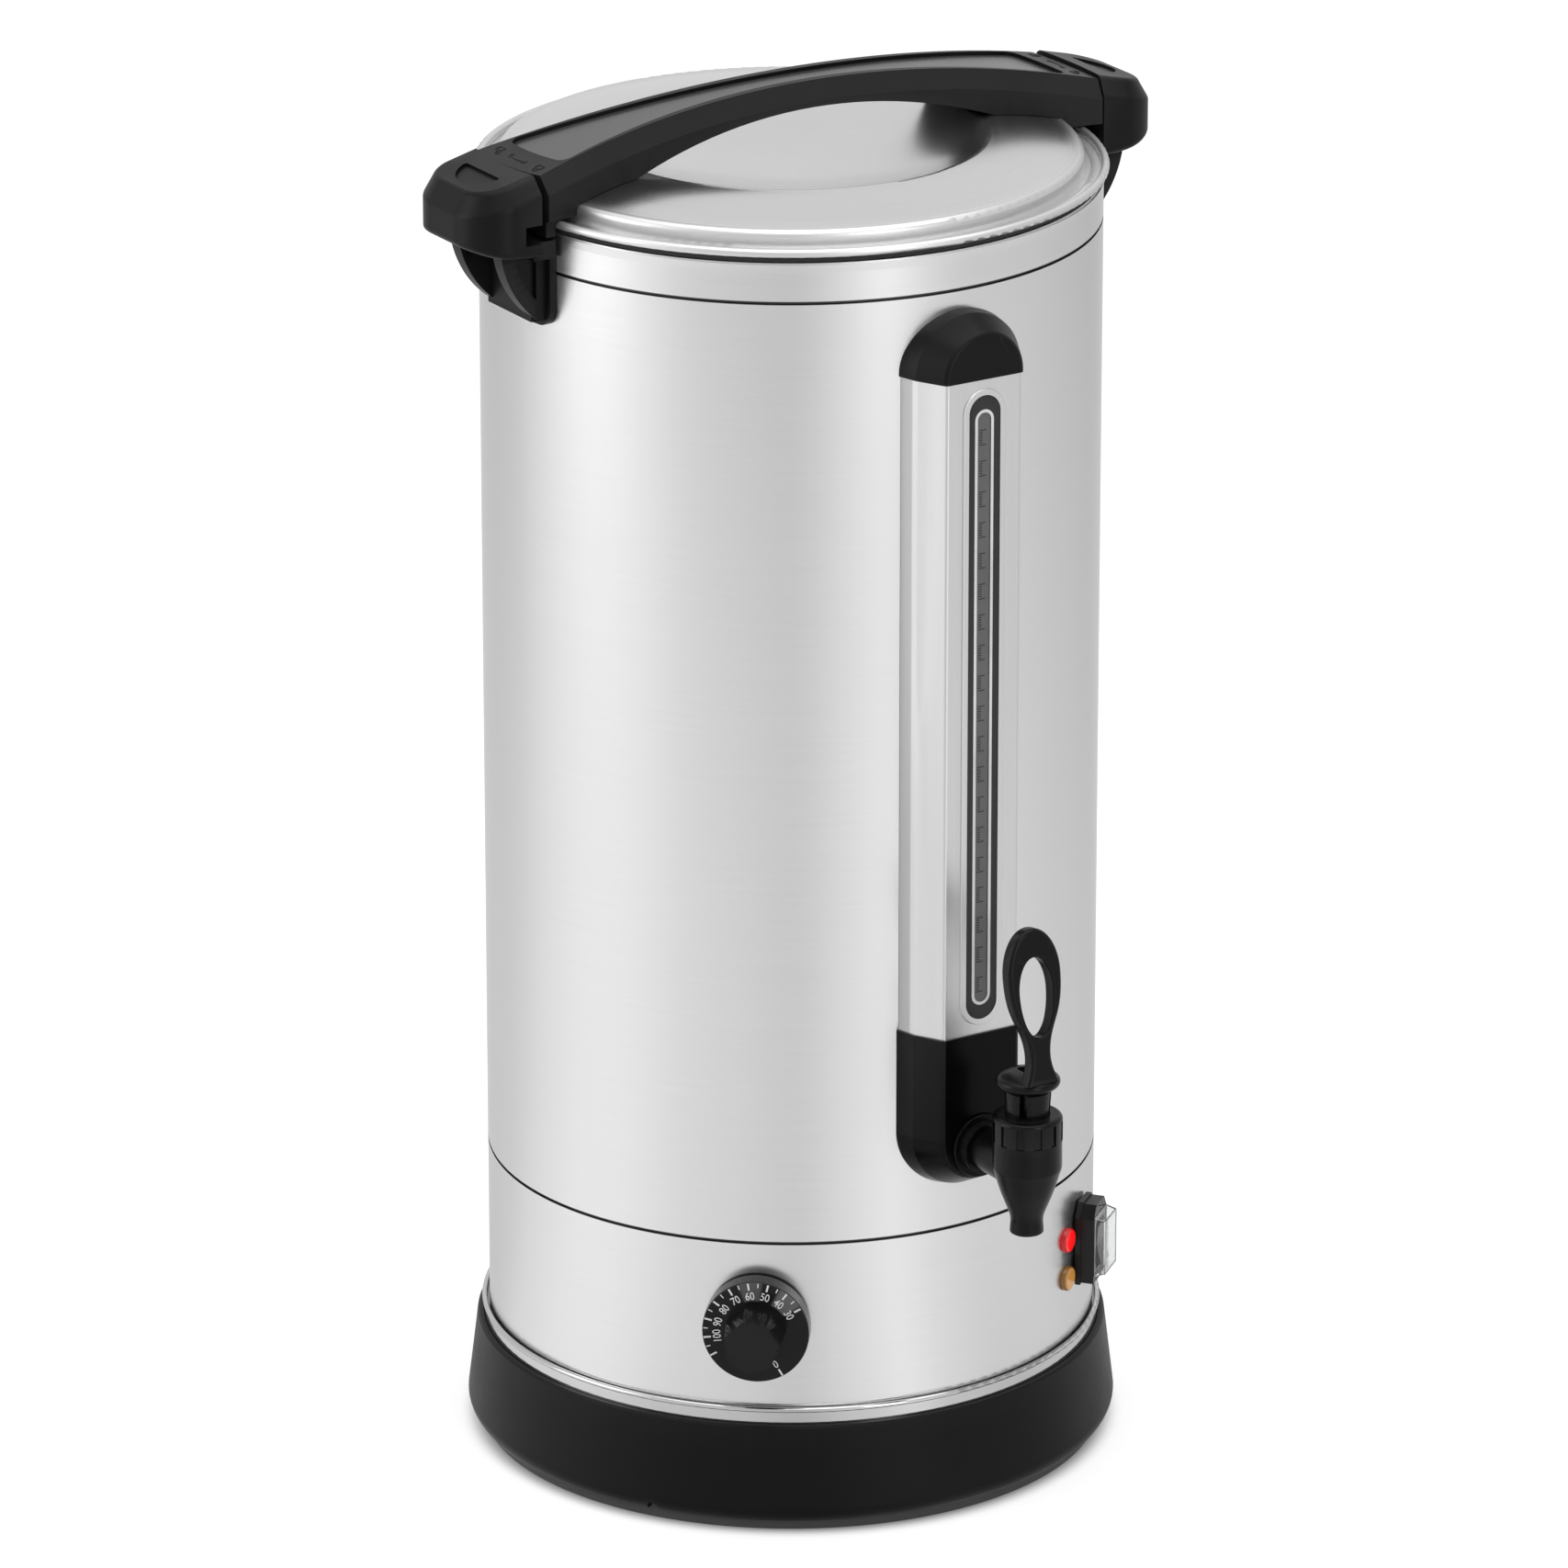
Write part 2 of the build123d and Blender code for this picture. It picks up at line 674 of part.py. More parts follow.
rocker_throw = 11.0
rocker_crown = 2.2
rocker_plane = Plane(
    origin=panel(switch_azimuth, rocker_pivot, switch_height - 1.5).origin,
    x_dir=panel(switch_azimuth).z_dir,
    z_dir=panel(switch_azimuth).x_dir,
)
half_rocker = rocker_length / 2 - 1.2
with BuildPart() as switch_rocker:
    with BuildSketch(rocker_plane.offset(-rocker_width / 2 + 0.4)):
        with BuildLine():
            Polyline(
                (-1.5, half_rocker),
                (rocker_crown + half_rocker * sin(radians(rocker_throw)), half_rocker - 1),
                (rocker_crown, 0),
                (rocker_crown - half_rocker * sin(radians(rocker_throw)) + 2.4, -half_rocker + 1),
                (-1.5, -half_rocker),
                (-4.5, 0),
                close=True,
            )
        make_face()
    extrude(amount=rocker_width - 0.8)
    with BuildSketch(rocker_plane.offset(-rocker_width / 2 - 0.25)):
        Circle(1.2)
    extrude(amount=rocker_width + 0.5)
pieces["switch_rocker"] = switch_rocker

cover_front = cover_base + switch_cover_depth
with BuildPart() as switch_cover:
    with BuildSketch(panel(switch_azimuth, cover_base + slip, switch_height - 1.0)):
        Rectangle(switch_width - 4, switch_length - 11)
    with BuildSketch(panel(switch_azimuth, cover_front, switch_height - 1.0)):
        Rectangle(switch_width - 5, switch_length - 14)
    loft()
    offset(amount=-1.0, openings=switch_cover.faces().sort_by(Axis((0, 0, 0), rocker_plane.x_dir))[0])
pieces["switch_cover"] = switch_cover

# ---------------------------------------------------------------- level gauge
column_flange = 8.0
column_back = column_foot - column_flange
column_slope = (column_foot_half_width - column_fold_half_width) / (column_fold - column_foot)
column_back_half_width = column_foot_half_width + column_flange * column_slope
column_fold_radius = 2.0


def column_section(grow, height):
    """The column's outline in plan at this height, grown outwards by this much."""
    with BuildSketch(Plane.XY.offset(height)) as section:
        with BuildLine():
            Polyline(
                (-column_back_half_width - grow, -column_back),
                (-column_fold_half_width - grow, -column_fold),
                (-column_front_half_width - grow / 2, -column_front - grow),
                (column_front_half_width + grow / 2, -column_front - grow),
                (column_fold_half_width + grow, -column_fold),
                (column_back_half_width + grow, -column_back),
                (-column_back_half_width - grow, -column_back),
            )
        make_face()
        folds = [corner for corner in section.vertices() if corner.Y < -column_back - 2]
        fillet(folds, column_fold_radius + grow)
    return section.sketch


def end_sections(grow, centre, edge, rises):
    """Slices through a rounded end cover from the body to its front: half ellipses with straight sides."""
    reaches = (column_back, column_fold, column_front + grow)
    half_widths = (column_back_half_width, column_fold_half_width, column_front_half_width)
    turn = 0 if centre > edge else 180
    slices = []
    for reach, half_width, rise in zip(reaches, half_widths, rises):
        side = half_width + grow
        first = side if turn == 0 else -side
        with BuildSketch(front(reach, centre)) as section:
            with BuildLine():
                EllipticalCenterArc((0, 0), side, rise + grow, start_angle=turn, arc_size=180)
                Polyline((-first, 0), (-first, edge - centre), (first, edge - centre), (first, 0))
            make_face()
        slices.append(section.sketch.face())
    return slices


def tube_ring(plane, outer, inner=0.0):
    """A flat ring, or a disc, on this plane."""
    with BuildSketch(plane) as ring:
        Circle(outer)
        if inner > 0:
            Circle(inner, mode=Mode.SUBTRACT)
    return ring.sketch


body_envelope = tube_ring(Plane.XY, body_radius + 2 * slip)
gauge_slot_length = column_length - 2 * gauge_slot_margin
gauge_centre = (column_top + column_bottom) / 2
window_length = gauge_slot_length - 16.6
rim_length = gauge_slot_length + 2 * gauge_rim_width
rim_width = gauge_slot_width + 2 * gauge_rim_width
with BuildPart() as gauge_column:
    extrude(column_section(0, column_bottom - cover_overlap), amount=column_length + 2 * cover_overlap)
    extrude(
        column_section(-column_sheet, column_bottom - cover_overlap),
        amount=column_length + 2 * cover_overlap,
        mode=Mode.SUBTRACT,
    )
    extrude(body_envelope, amount=rim_height, mode=Mode.SUBTRACT)
    with BuildSketch(front(column_front - column_sheet, gauge_centre)):
        SlotOverall(rim_length, rim_width, rotation=90)
    extrude(amount=column_sheet + gauge_rim_height)
    rim_face = gauge_column.faces().sort_by(Axis.Y)[0]
    fillet(rim_face.edges(), 0.5)
    with BuildSketch(front(column_front - 2, gauge_centre)):
        SlotOverall(gauge_slot_length, gauge_slot_width, rotation=90)
    extrude(amount=4, mode=Mode.SUBTRACT)
pieces["gauge_column"] = gauge_column

bezel_back = column_front - column_sheet - slip
bezel_flange = 1.2
window_flange = 1.0
with BuildPart() as gauge_bezel:
    with BuildSketch(front(bezel_back - bezel_flange, gauge_centre)):
        SlotOverall(gauge_slot_length + 4, gauge_slot_width + 4, rotation=90)
    extrude(amount=bezel_flange)
    with BuildSketch(front(bezel_back, gauge_centre)):
        SlotOverall(gauge_slot_length - 2 * slip, gauge_slot_width - 2 * slip, rotation=90)
    extrude(amount=column_sheet + slip + gauge_rim_height / 2)
    with BuildSketch(front(bezel_back - bezel_flange, gauge_centre)):
        SlotOverall(window_length, window_width, rotation=90)
    extrude(amount=bezel_flange + 2 * bezel_thickness, mode=Mode.SUBTRACT)
pieces["gauge_bezel"] = gauge_bezel

window_back = bezel_back - bezel_flange - slip - window_flange
with BuildPart() as gauge_window:
    with BuildSketch(front(window_back, gauge_centre)):
        SlotOverall(window_length + 4, window_width + 4, rotation=90)
    extrude(amount=window_flange)
    with BuildSketch(front(window_back + window_flange, gauge_centre)):
        SlotOverall(window_length - 2 * slip, window_width - 2 * slip, rotation=90)
    extrude(amount=column_front - window_back - window_flange)
pieces["gauge_window"] = gauge_window

sight_reach = column_front - 10.0
tee_radius = 13.0
tee_back = tank_outer + 2.5
tee_front = column_front + cover_proud - cover_wall - 2 * slip
socket_wall = 2.2
socket_top = tap_height + tee_radius + 14.0
sight_tube_bottom = tap_height + tee_radius + 2.0
sight_tube_top = column_top + 8.0
sight_axis = (0, -sight_reach)


def sight_ring(height, outer, inner=0.0):
    """A ring about the sight tube's axis at this height."""
    return tube_ring(Plane(origin=(*sight_axis, height)), outer, inner)


with BuildPart() as sight_tube:
    extrude(
        sight_ring(sight_tube_bottom, sight_tube_radius, sight_tube_radius - sight_tube_wall),
        amount=sight_tube_top - sight_tube_bottom,
    )
pieces["sight_tube"] = sight_tube

with BuildPart() as gauge_tee:
    extrude(tube_ring(front(tee_back, tap_height), tee_radius), amount=tee_front - tee_back)
    extrude(sight_ring(tap_height, sight_tube_radius + socket_wall), amount=socket_top - tap_height)
    extrude(
        sight_ring(sight_tube_bottom, sight_tube_radius + running),
        amount=socket_top - sight_tube_bottom,
        mode=Mode.SUBTRACT,
    )
    extrude(sight_ring(tap_height, sight_tube_radius - 1), amount=socket_top - tap_height, mode=Mode.SUBTRACT)
    extrude(
        tube_ring(front(tee_back, tap_height), shank_radius + running),
        amount=tee_front - tee_back,
        mode=Mode.SUBTRACT,
    )
pieces["gauge_tee"] = gauge_tee

seal_grip = 8.0
with BuildPart() as sight_tube_seal:
    extrude(sight_ring(sight_tube_top - seal_grip, sight_tube_radius + 1.8), amount=seal_grip + 3)
    extrude(
        sight_ring(sight_tube_top - seal_grip, sight_tube_radius + running),
        amount=seal_grip + slip,
        mode=Mode.SUBTRACT,
    )
    extrude(sight_ring(sight_tube_top, 1.0), amount=4, mode=Mode.SUBTRACT)
pieces["sight_tube_seal"] = sight_tube_seal

cap_edge = column_top + slip
cap_centre = cap_edge + 1.0
cap_rises = (cap_rise, cap_rise - 1.0, column_front_half_width)
with BuildPart() as column_cap:
    loft(end_sections(cover_proud, cap_centre, cap_edge, cap_rises), ruled=True)
    cap_face = column_cap.faces().filter_by(Axis.Y).sort_by(Axis.Y)[0]
    cap_crown = [edge for edge in cap_face.edges() if edge.center().Z > cap_centre]
    fillet(cap_crown, 3.0)
    loft(
        end_sections(cover_proud - cover_wall, cap_centre, cap_edge - 1, cap_rises),
        ruled=True,
        mode=Mode.SUBTRACT,
    )
    extrude(column_section(slip, cap_edge), amount=cover_overlap + slip, mode=Mode.SUBTRACT)
    extrude(body_envelope, amount=rim_height, mode=Mode.SUBTRACT)
pieces["column_cap"] = column_cap

foot_edge = column_bottom - slip
foot_centre = column_bottom - foot_cover_length
foot_rises = (column_back_half_width, column_fold_half_width, column_front_half_width)
foot_boss_radius = 16.0
with BuildPart() as column_foot_cover:
    loft(end_sections(cover_proud, foot_centre, foot_edge, foot_rises), ruled=True)
    foot_face = column_foot_cover.faces().filter_by(Axis.Y).sort_by(Axis.Y)[0]
    foot_crown = [edge for edge in foot_face.edges() if edge.center().Z < foot_edge - 1]
    fillet(foot_crown, 3.0)
    extrude(
        tube_ring(front(column_front - 1, tap_height), foot_boss_radius),
        amount=tap_shoulder - column_front + 1,
    )
    fillet(column_foot_cover.faces().sort_by(Axis.Y)[0].edges(), 1.0)
    loft(
        end_sections(cover_proud - cover_wall, foot_centre, foot_edge + 1, foot_rises),
        ruled=True,
        mode=Mode.SUBTRACT,
    )
    extrude(column_section(slip, foot_edge), amount=-cover_overlap - slip, mode=Mode.SUBTRACT)
    extrude(body_envelope, amount=rim_height, mode=Mode.SUBTRACT)
    extrude(
        tube_ring(front(column_front - 4, tap_height), shank_radius + slip),
        amount=10,
        mode=Mode.SUBTRACT,
    )
pieces["column_foot_cover"] = column_foot_cover

# ---------------------------------------------------------------- tap
tap_line = Axis((0, -tap_axis, 0), (0, 0, 1))
tap_profile = front(tap_axis)
seat_land = tap_height - 11.2
chamber_radius = 11.6
spigot_radius = 14.6
spigot_bore = 12.8
spigot_bottom = bonnet_bottom + 2.2
spigot_top = bonnet_bottom + 6.7
spigot_base = bonnet_bottom - 4.0
neck_radius = 10.5
flange_radius = 13.0
flange_thickness = 4.7
shank_start = column_foot - 17.3


def tap_ring(height, outer, inner=0.0):
    """A ring about the tap's upright axis at this height."""
    return tube_ring(Plane(origin=(0, -tap_axis, height)), outer, inner)


with BuildPart() as tap_body:
    with BuildSketch(tap_profile):
        with BuildLine():
            Polyline(
                (spout_radius, tap_base),
                (0, tap_base),
                (0, bonnet_bottom),
                (tap_body_radius, bonnet_bottom),
            )
            Spline(
                (spout_radius, tap_base),
                (spout_radius - 0.2, tap_base + 8.0),
                (spout_radius + 1.2, tap_base + 12.5),
                (spout_radius + 4.9, tap_base + 22.0),
                (tap_body_radius - 0.7, tap_base + 31.5),
                (tap_body_radius, bonnet_bottom),
                tangents=((0, 1), (0, 1)),
            )
        make_face()
    revolve(axis=tap_line)
    extrude(tube_ring(front(tap_shoulder + apart, tap_height), flange_radius), amount=flange_thickness)
    extrude(
        tube_ring(front(tap_shoulder + apart, tap_height), neck_radius),
        amount=tap_axis - tap_shoulder - apart,
    )
    extrude(tube_ring(front(shank_start, tap_height), shank_radius), amount=tap_shoulder + 1 - shank_start)
    extrude(tap_ring(spigot_base, spigot_radius), amount=spigot_top - spigot_base)
    extrude(tap_ring(tap_base, spout_bore_radius), amount=seat_land + 1 - tap_base, mode=Mode.SUBTRACT)
    extrude(tap_ring(seat_land, chamber_radius), amount=spigot_top - seat_land, mode=Mode.SUBTRACT)
    extrude(tap_ring(spigot_bottom, spigot_bore), amount=spigot_top - spigot_bottom, mode=Mode.SUBTRACT)
    extrude(
        tube_ring(front(shank_start, tap_height), shank_bore_radius),
        amount=tap_axis - shank_start,
        mode=Mode.SUBTRACT,
    )
    chamfer(tap_body.faces().sort_by(Axis.Z)[0].edges(), 0.6)
pieces["tap_body"] = tap_body

bonnet_radius = tap_body_radius + 0.2
bonnet_roof = spigot_top + slip
bonnet_hole = guide_radius - 0.4
bonnet_groove_depth = 0.9
with BuildPart() as tap_bonnet:
    extrude(tap_ring(bonnet_bottom + slip, bonnet_radius), amount=bonnet_height - slip)
    fillet(tap_bonnet.faces().sort_by(Axis.Z)[-1].edges(), 2.2)
    with BuildSketch(Plane(origin=(0, -tap_axis, bonnet_bottom))):
        with PolarLocations(bonnet_radius, bonnet_rib_count, start_angle=15):
            Rectangle(2 * bonnet_groove_depth, 3.4)
    extrude(amount=bonnet_height - 2.4, mode=Mode.SUBTRACT)
    extrude(
        tap_ring(bonnet_bottom, spigot_radius + slip),
        amount=bonnet_roof - bonnet_bottom,
        mode=Mode.SUBTRACT,
    )
    extrude(tap_ring(bonnet_roof, bonnet_hole), amount=bonnet_height, mode=Mode.SUBTRACT)
pieces["tap_bonnet"] = tap_bonnet

guide_bottom = spigot_bottom + slip
guide_neck = bonnet_hole - apart
guide_slot_width = 3.6
guide_slot_bottom = bonnet_top + 0.8
with BuildPart() as tap_guide:
    extrude(tap_ring(guide_bottom, spigot_bore - slip), amount=spigot_top - guide_bottom - slip)
    extrude(tap_ring(guide_bottom, guide_neck), amount=bonnet_top + 1 - guide_bottom)
    with BuildSketch(tap_profile):
        with BuildLine():
            Polyline(
                (0, bonnet_top + 1),
                (guide_neck, bonnet_top + 1),
                (guide_radius, guide_top - 1.6),
                (guide_radius - 1.2, guide_top),
                (0, guide_top),
                (0, bonnet_top + 1),
            )
        make_face()
    revolve(axis=tap_line)
    with BuildSketch(Plane(origin=(0, -tap_axis, guide_slot_bottom))):
        Rectangle(guide_slot_width, 4 * guide_radius, rotation=45)
        Rectangle(guide_slot_width, 4 * guide_radius, rotation=-45)
        Circle(stem_radius + 3.2, mode=Mode.SUBTRACT)
    extrude(amount=guide_height, mode=Mode.SUBTRACT)
    extrude(
        tap_ring(guide_bottom, stem_radius + running),
        amount=guide_top - guide_bottom,
        mode=Mode.SUBTRACT,
    )
pieces["tap_guide"] = tap_guide

cup_bottom = seat_land + apart
cup_height = 9.5
cup_radius = 8.5
cup_wall = 2.2
pin_radius = 1.2
pin_length = 18.0
stem_bottom = cup_bottom + 4.0
stem_top = pin_height + 2.9
with BuildPart() as tap_stem:
    extrude(tap_ring(stem_bottom, stem_radius), amount=stem_top - stem_bottom)
    extrude(tap_ring(stem_bottom, stem_radius + 1.4), amount=1.6)
    chamfer(tap_stem.edges().group_by(Axis.Z)[-1], 0.5)
    with BuildSketch(Plane.YZ):
        with Locations((-tap_axis, pin_height)):
            Circle(pin_radius + slip)
    extrude(amount=stem_radius * 2, both=True, mode=Mode.SUBTRACT)
pieces["tap_stem"] = tap_stem

with BuildPart() as tap_pin:
    with BuildSketch(Plane.YZ):
        with Locations((-tap_axis, pin_height)):
            Circle(pin_radius)
    extrude(amount=pin_length / 2, both=True)
pieces["tap_pin"] = tap_pin

with BuildPart() as tap_seat_cup:
    extrude(tap_ring(cup_bottom, cup_radius), amount=cup_height)
    fillet(tap_seat_cup.edges().group_by(Axis.Z)[0], 1.5)
    extrude(tap_ring(cup_bottom + 6.2, cup_radius - cup_wall), amount=cup_height, mode=Mode.SUBTRACT)
    extrude(tap_ring(stem_bottom - slip, stem_radius + slip), amount=cup_height, mode=Mode.SUBTRACT)
    extrude(tap_ring(stem_bottom - slip, stem_radius + 1.4 + slip), amount=1.6 + 2 * slip, mode=Mode.SUBTRACT)
pieces["tap_seat_cup"] = tap_seat_cup

spring_bottom = cup_bottom + 6.2 + spring_wire_radius + slip
spring_length = guide_bottom - spring_bottom - spring_wire_radius - slip
spring_radius = 4.8
with BuildPart() as tap_spring:
    with BuildLine():
        coil = Helix(
            pitch=spring_length / spring_turns,
            height=spring_length,
            radius=spring_radius,
            center=(0, -tap_axis, spring_bottom),
        )
    with BuildSketch(Plane(origin=coil @ 0, z_dir=coil % 0)):
        Circle(spring_wire_radius)
    sweep()
pieces["tap_spring"] = tap_spring

washer_thickness = 2.0
nut_thickness = 7.6
inner_washer_front = sqrt(tank_inner**2 - flange_radius**2) - slip
outer_washer_back = tank_outer + slip
with BuildPart() as tap_washers:
    extrude(
        tube_ring(
            front(inner_washer_front - washer_thickness, tap_height),
            flange_radius,
            shank_radius + running,
        ),
        amount=washer_thickness,
    )
    extrude(
        tube_ring(front(outer_washer_back, tap_height), flange_radius, shank_radius + running),
        amount=washer_thickness,
    )
pieces["tap_washers"] = tap_washers

nut_front = inner_washer_front - washer_thickness - slip
with BuildPart() as tap_nut:
    with BuildSketch(front(nut_front - nut_thickness, tap_height)):
        RegularPolygon(12.5, 6, major_radius=False)
        Circle(shank_radius + running, mode=Mode.SUBTRACT)
    extrude(amount=nut_thickness)
pieces["tap_nut"] = tap_nut

# The lever: a pebble shaped disc on the guide, with a leaning finger loop rising from its front edge
lever_bottom = guide_top + apart
loop_reach = 9.0
loop_root = guide_top + 13.8
lean = radians(lever_lean)
loop_plane = Plane(
    origin=(0, -tap_axis - loop_reach, loop_root),
    x_dir=(1, 0, 0),
    z_dir=(0, -cos(lean), sin(lean)),
)
loop_top = 67.2
loop_widest = 44.5
loop_half_width = 14.8
loop_waist = ((11.9, 25.3), (7.7, 15.2), (5.8, 6.1))
loop_foot = (9.6, -9.0)
loop_round = 2.2
hole_bottom = 13.8
hole_widest = 36.4
hole_top = 53.1
hole_half_width = 9.3
hole_round = 1.2
slot_half_width = stem_radius + 0.5
lever_slot_length = 13.5
lever_disc_tuck = 3.2
lever_disc_crown = 0.8
lever_disc_shoulder = 5.0
lever_disc_belly = 3.4
with BuildPart() as finger_loop:
    with BuildSketch(loop_plane):
        with BuildLine():
            EllipticalCenterArc(
                (0, loop_widest), loop_half_width, loop_top - loop_widest, start_angle=0, arc_size=180
            )
            right = Spline(
                (loop_half_width, loop_widest), *loop_waist, loop_foot, tangents=((0, -1), (0.5, -1))
            )
            mirror(right, about=Plane.YZ)
            Line((-loop_foot[0], loop_foot[1]), loop_foot)
        make_face()
    extrude(amount=lever_thickness / 2, both=True)
    loop_sides = finger_loop.faces().filter_by(loop_plane)
    rim_edges = [edge for side in loop_sides for edge in side.edges() if edge.length > 2 * loop_foot[0] + 1]
    fillet(rim_edges, loop_round)
    with BuildSketch(loop_plane):
        with BuildLine():
            EllipticalCenterArc(
                (0, hole_widest), hole_half_width, hole_top - hole_widest, start_angle=0, arc_size=180
            )
            EllipticalCenterArc(
                (0, hole_widest), hole_half_width, hole_widest - hole_bottom, start_angle=180, arc_size=180
            )
        make_face()
    extrude(amount=lever_thickness / 2, both=True, mode=Mode.SUBTRACT)
    hole_edges = finger_loop.edges(Select.LAST).filter_by(GeomType.ELLIPSE)
    fillet(hole_edges, hole_round)

with BuildPart() as tap_lever:
    with BuildSketch(tap_profile):
        with BuildLine():
            Polyline(
                (lever_disc_radius - lever_disc_tuck, lever_bottom),
                (0, lever_bottom),
                (0, lever_bottom + lever_disc_height + lever_disc_crown),
            )
            Spline(
                (0, lever_bottom + lever_disc_height + lever_disc_crown),
                (lever_disc_radius - lever_disc_shoulder, lever_bottom + lever_disc_height),
                (lever_disc_radius, lever_bottom + lever_disc_belly),
                (lever_disc_radius - lever_disc_tuck, lever_bottom),
                tangents=((1, 0), (-1, 0)),
            )
        make_face()
    revolve(axis=tap_line)
    add(finger_loop.part)
    with BuildSketch(Plane(origin=(0, -tap_axis + 0.3, lever_bottom))):
        SlotOverall(lever_slot_length, 2 * slot_half_width, rotation=90)
    extrude(amount=2 * lever_disc_height, mode=Mode.SUBTRACT)
    with BuildSketch(Plane.YZ):
        with Locations((-tap_axis, pin_height)):
            Circle(pin_radius + running)
    extrude(amount=pin_length / 2 + apart, both=True, mode=Mode.SUBTRACT)
pieces["tap_lever"] = tap_lever

# ---------------------------------------------------------------- side handles
handle_top = rim_height + handle_rise
handle_tip_lift = 1.0
handle_floor = handle_top - handle_block_height
handle_slope = handle_top_fall / (handle_tip - handle_inner_radius)
handle_inner_x = sqrt(handle_inner_radius**2 - handle_half_width**2) - 2
crown_inner = handle_top + handle_slope * (handle_inner_radius - handle_inner_x)
plate_inner = body_radius + apart
plate_outer = plate_inner + handle_plate_thickness
flange_top = handle_floor + handle_tip_lift
plate_low = flange_top - handle_plate_drop
web_front = plate_outer + 3.5
rib_side = handle_rib_offset + handle_rib_thickness / 2
rib_reach = handle_tip - 18.0
rib_middle = (rib_reach - 6.0, plate_low + 21.0)
rib_root = (plate_outer + 2.5, plate_low + 4.0)
rib_pocket_margin = 5.0
rib_pocket_depth = 2.4
notch_depth = 5.5
notch_height = 9.3
ledge_width = 12.0
ledge_drop = 9.0
thumb_start = 9.5
thumb_reach = 22.5
thumb_half_width = 16.0
thumb_corner = 1.5
handle_screw_depth = 5.5
notch_width = 38.0


def handle_outline(plane, inner_x):
    """The handle's plan: as broad as the lid bar's end, with a round tip."""
    with BuildSketch(plane) as outline:
        with BuildLine():
            Polyline(
                (inner_x, -handle_half_width),
                (handle_tip, -handle_half_width),
                (handle_tip, handle_half_width),
                (inner_x, handle_half_width),
                close=True,
            )
        make_face()
        tip_corners = outline.vertices().group_by(Axis.X)[-1]
        fillet(tip_corners, handle_corner_radius)
    return outline.sketch


crown_plane = Plane(
    origin=(handle_tip, 0, handle_top - handle_top_fall),
    x_dir=(1, 0, -handle_slope),
    z_dir=(handle_slope, 0, 1),
)


def edges_below_crown(part, depth):
    """The handle's edges that lie this deep under its sloping crown, but for those at the bar."""
    found = []
    for edge in part.edges():
        middle = edge @ 0.5
        level = crown_plane.to_local_coords(middle).Z
        if abs(level + depth) < 0.4 and middle.X > handle_inner_x + 1:
            found.append(edge)
    return found


with BuildPart() as handle_block:
    with BuildSketch(Plane.XZ):
        with BuildLine():
            Polyline(
                (handle_inner_x, handle_floor - handle_belly),
                (handle_inner_x, crown_inner),
                (handle_tip, handle_top - handle_top_fall),
                (handle_tip, handle_floor + handle_tip_lift),
            )
            ThreePointArc(
                (handle_tip, handle_floor + handle_tip_lift),
                ((handle_tip + handle_inner_x) / 2, handle_floor - handle_belly * 0.8),
                (handle_inner_x, handle_floor - handle_belly),
            )
        make_face()
    extrude(amount=handle_half_width + 1, both=True)
    extrude(
        handle_outline(Plane.XY.offset(handle_floor - 20), handle_inner_x),
        amount=handle_block_height + 40,
        mode=Mode.INTERSECT,
    )
    hem_edges = handle_block.faces().sort_by(Axis.Z)[0].edges().sort_by(Axis.X)[1:]
    fillet(hem_edges, handle_hem_round)
    handle_crown = handle_block.faces().sort_by(Axis.Z)[-1]
    chamfer(
        handle_crown.edges().sort_by(Axis.X)[1:],
        length=bar_chamfer_out,
        length2=bar_chamfer_down,
        reference=handle_crown,
    )
    fillet(edges_below_crown(handle_block, bar_chamfer_down), handle_crease_round)
    fillet(edges_below_crown(handle_block, 0), handle_crown_round)
    extrude(
        tube_ring(Plane.XY.offset(handle_floor - 20), handle_inner_radius),
        amount=handle_block_height + 40,
        mode=Mode.SUBTRACT,
    )

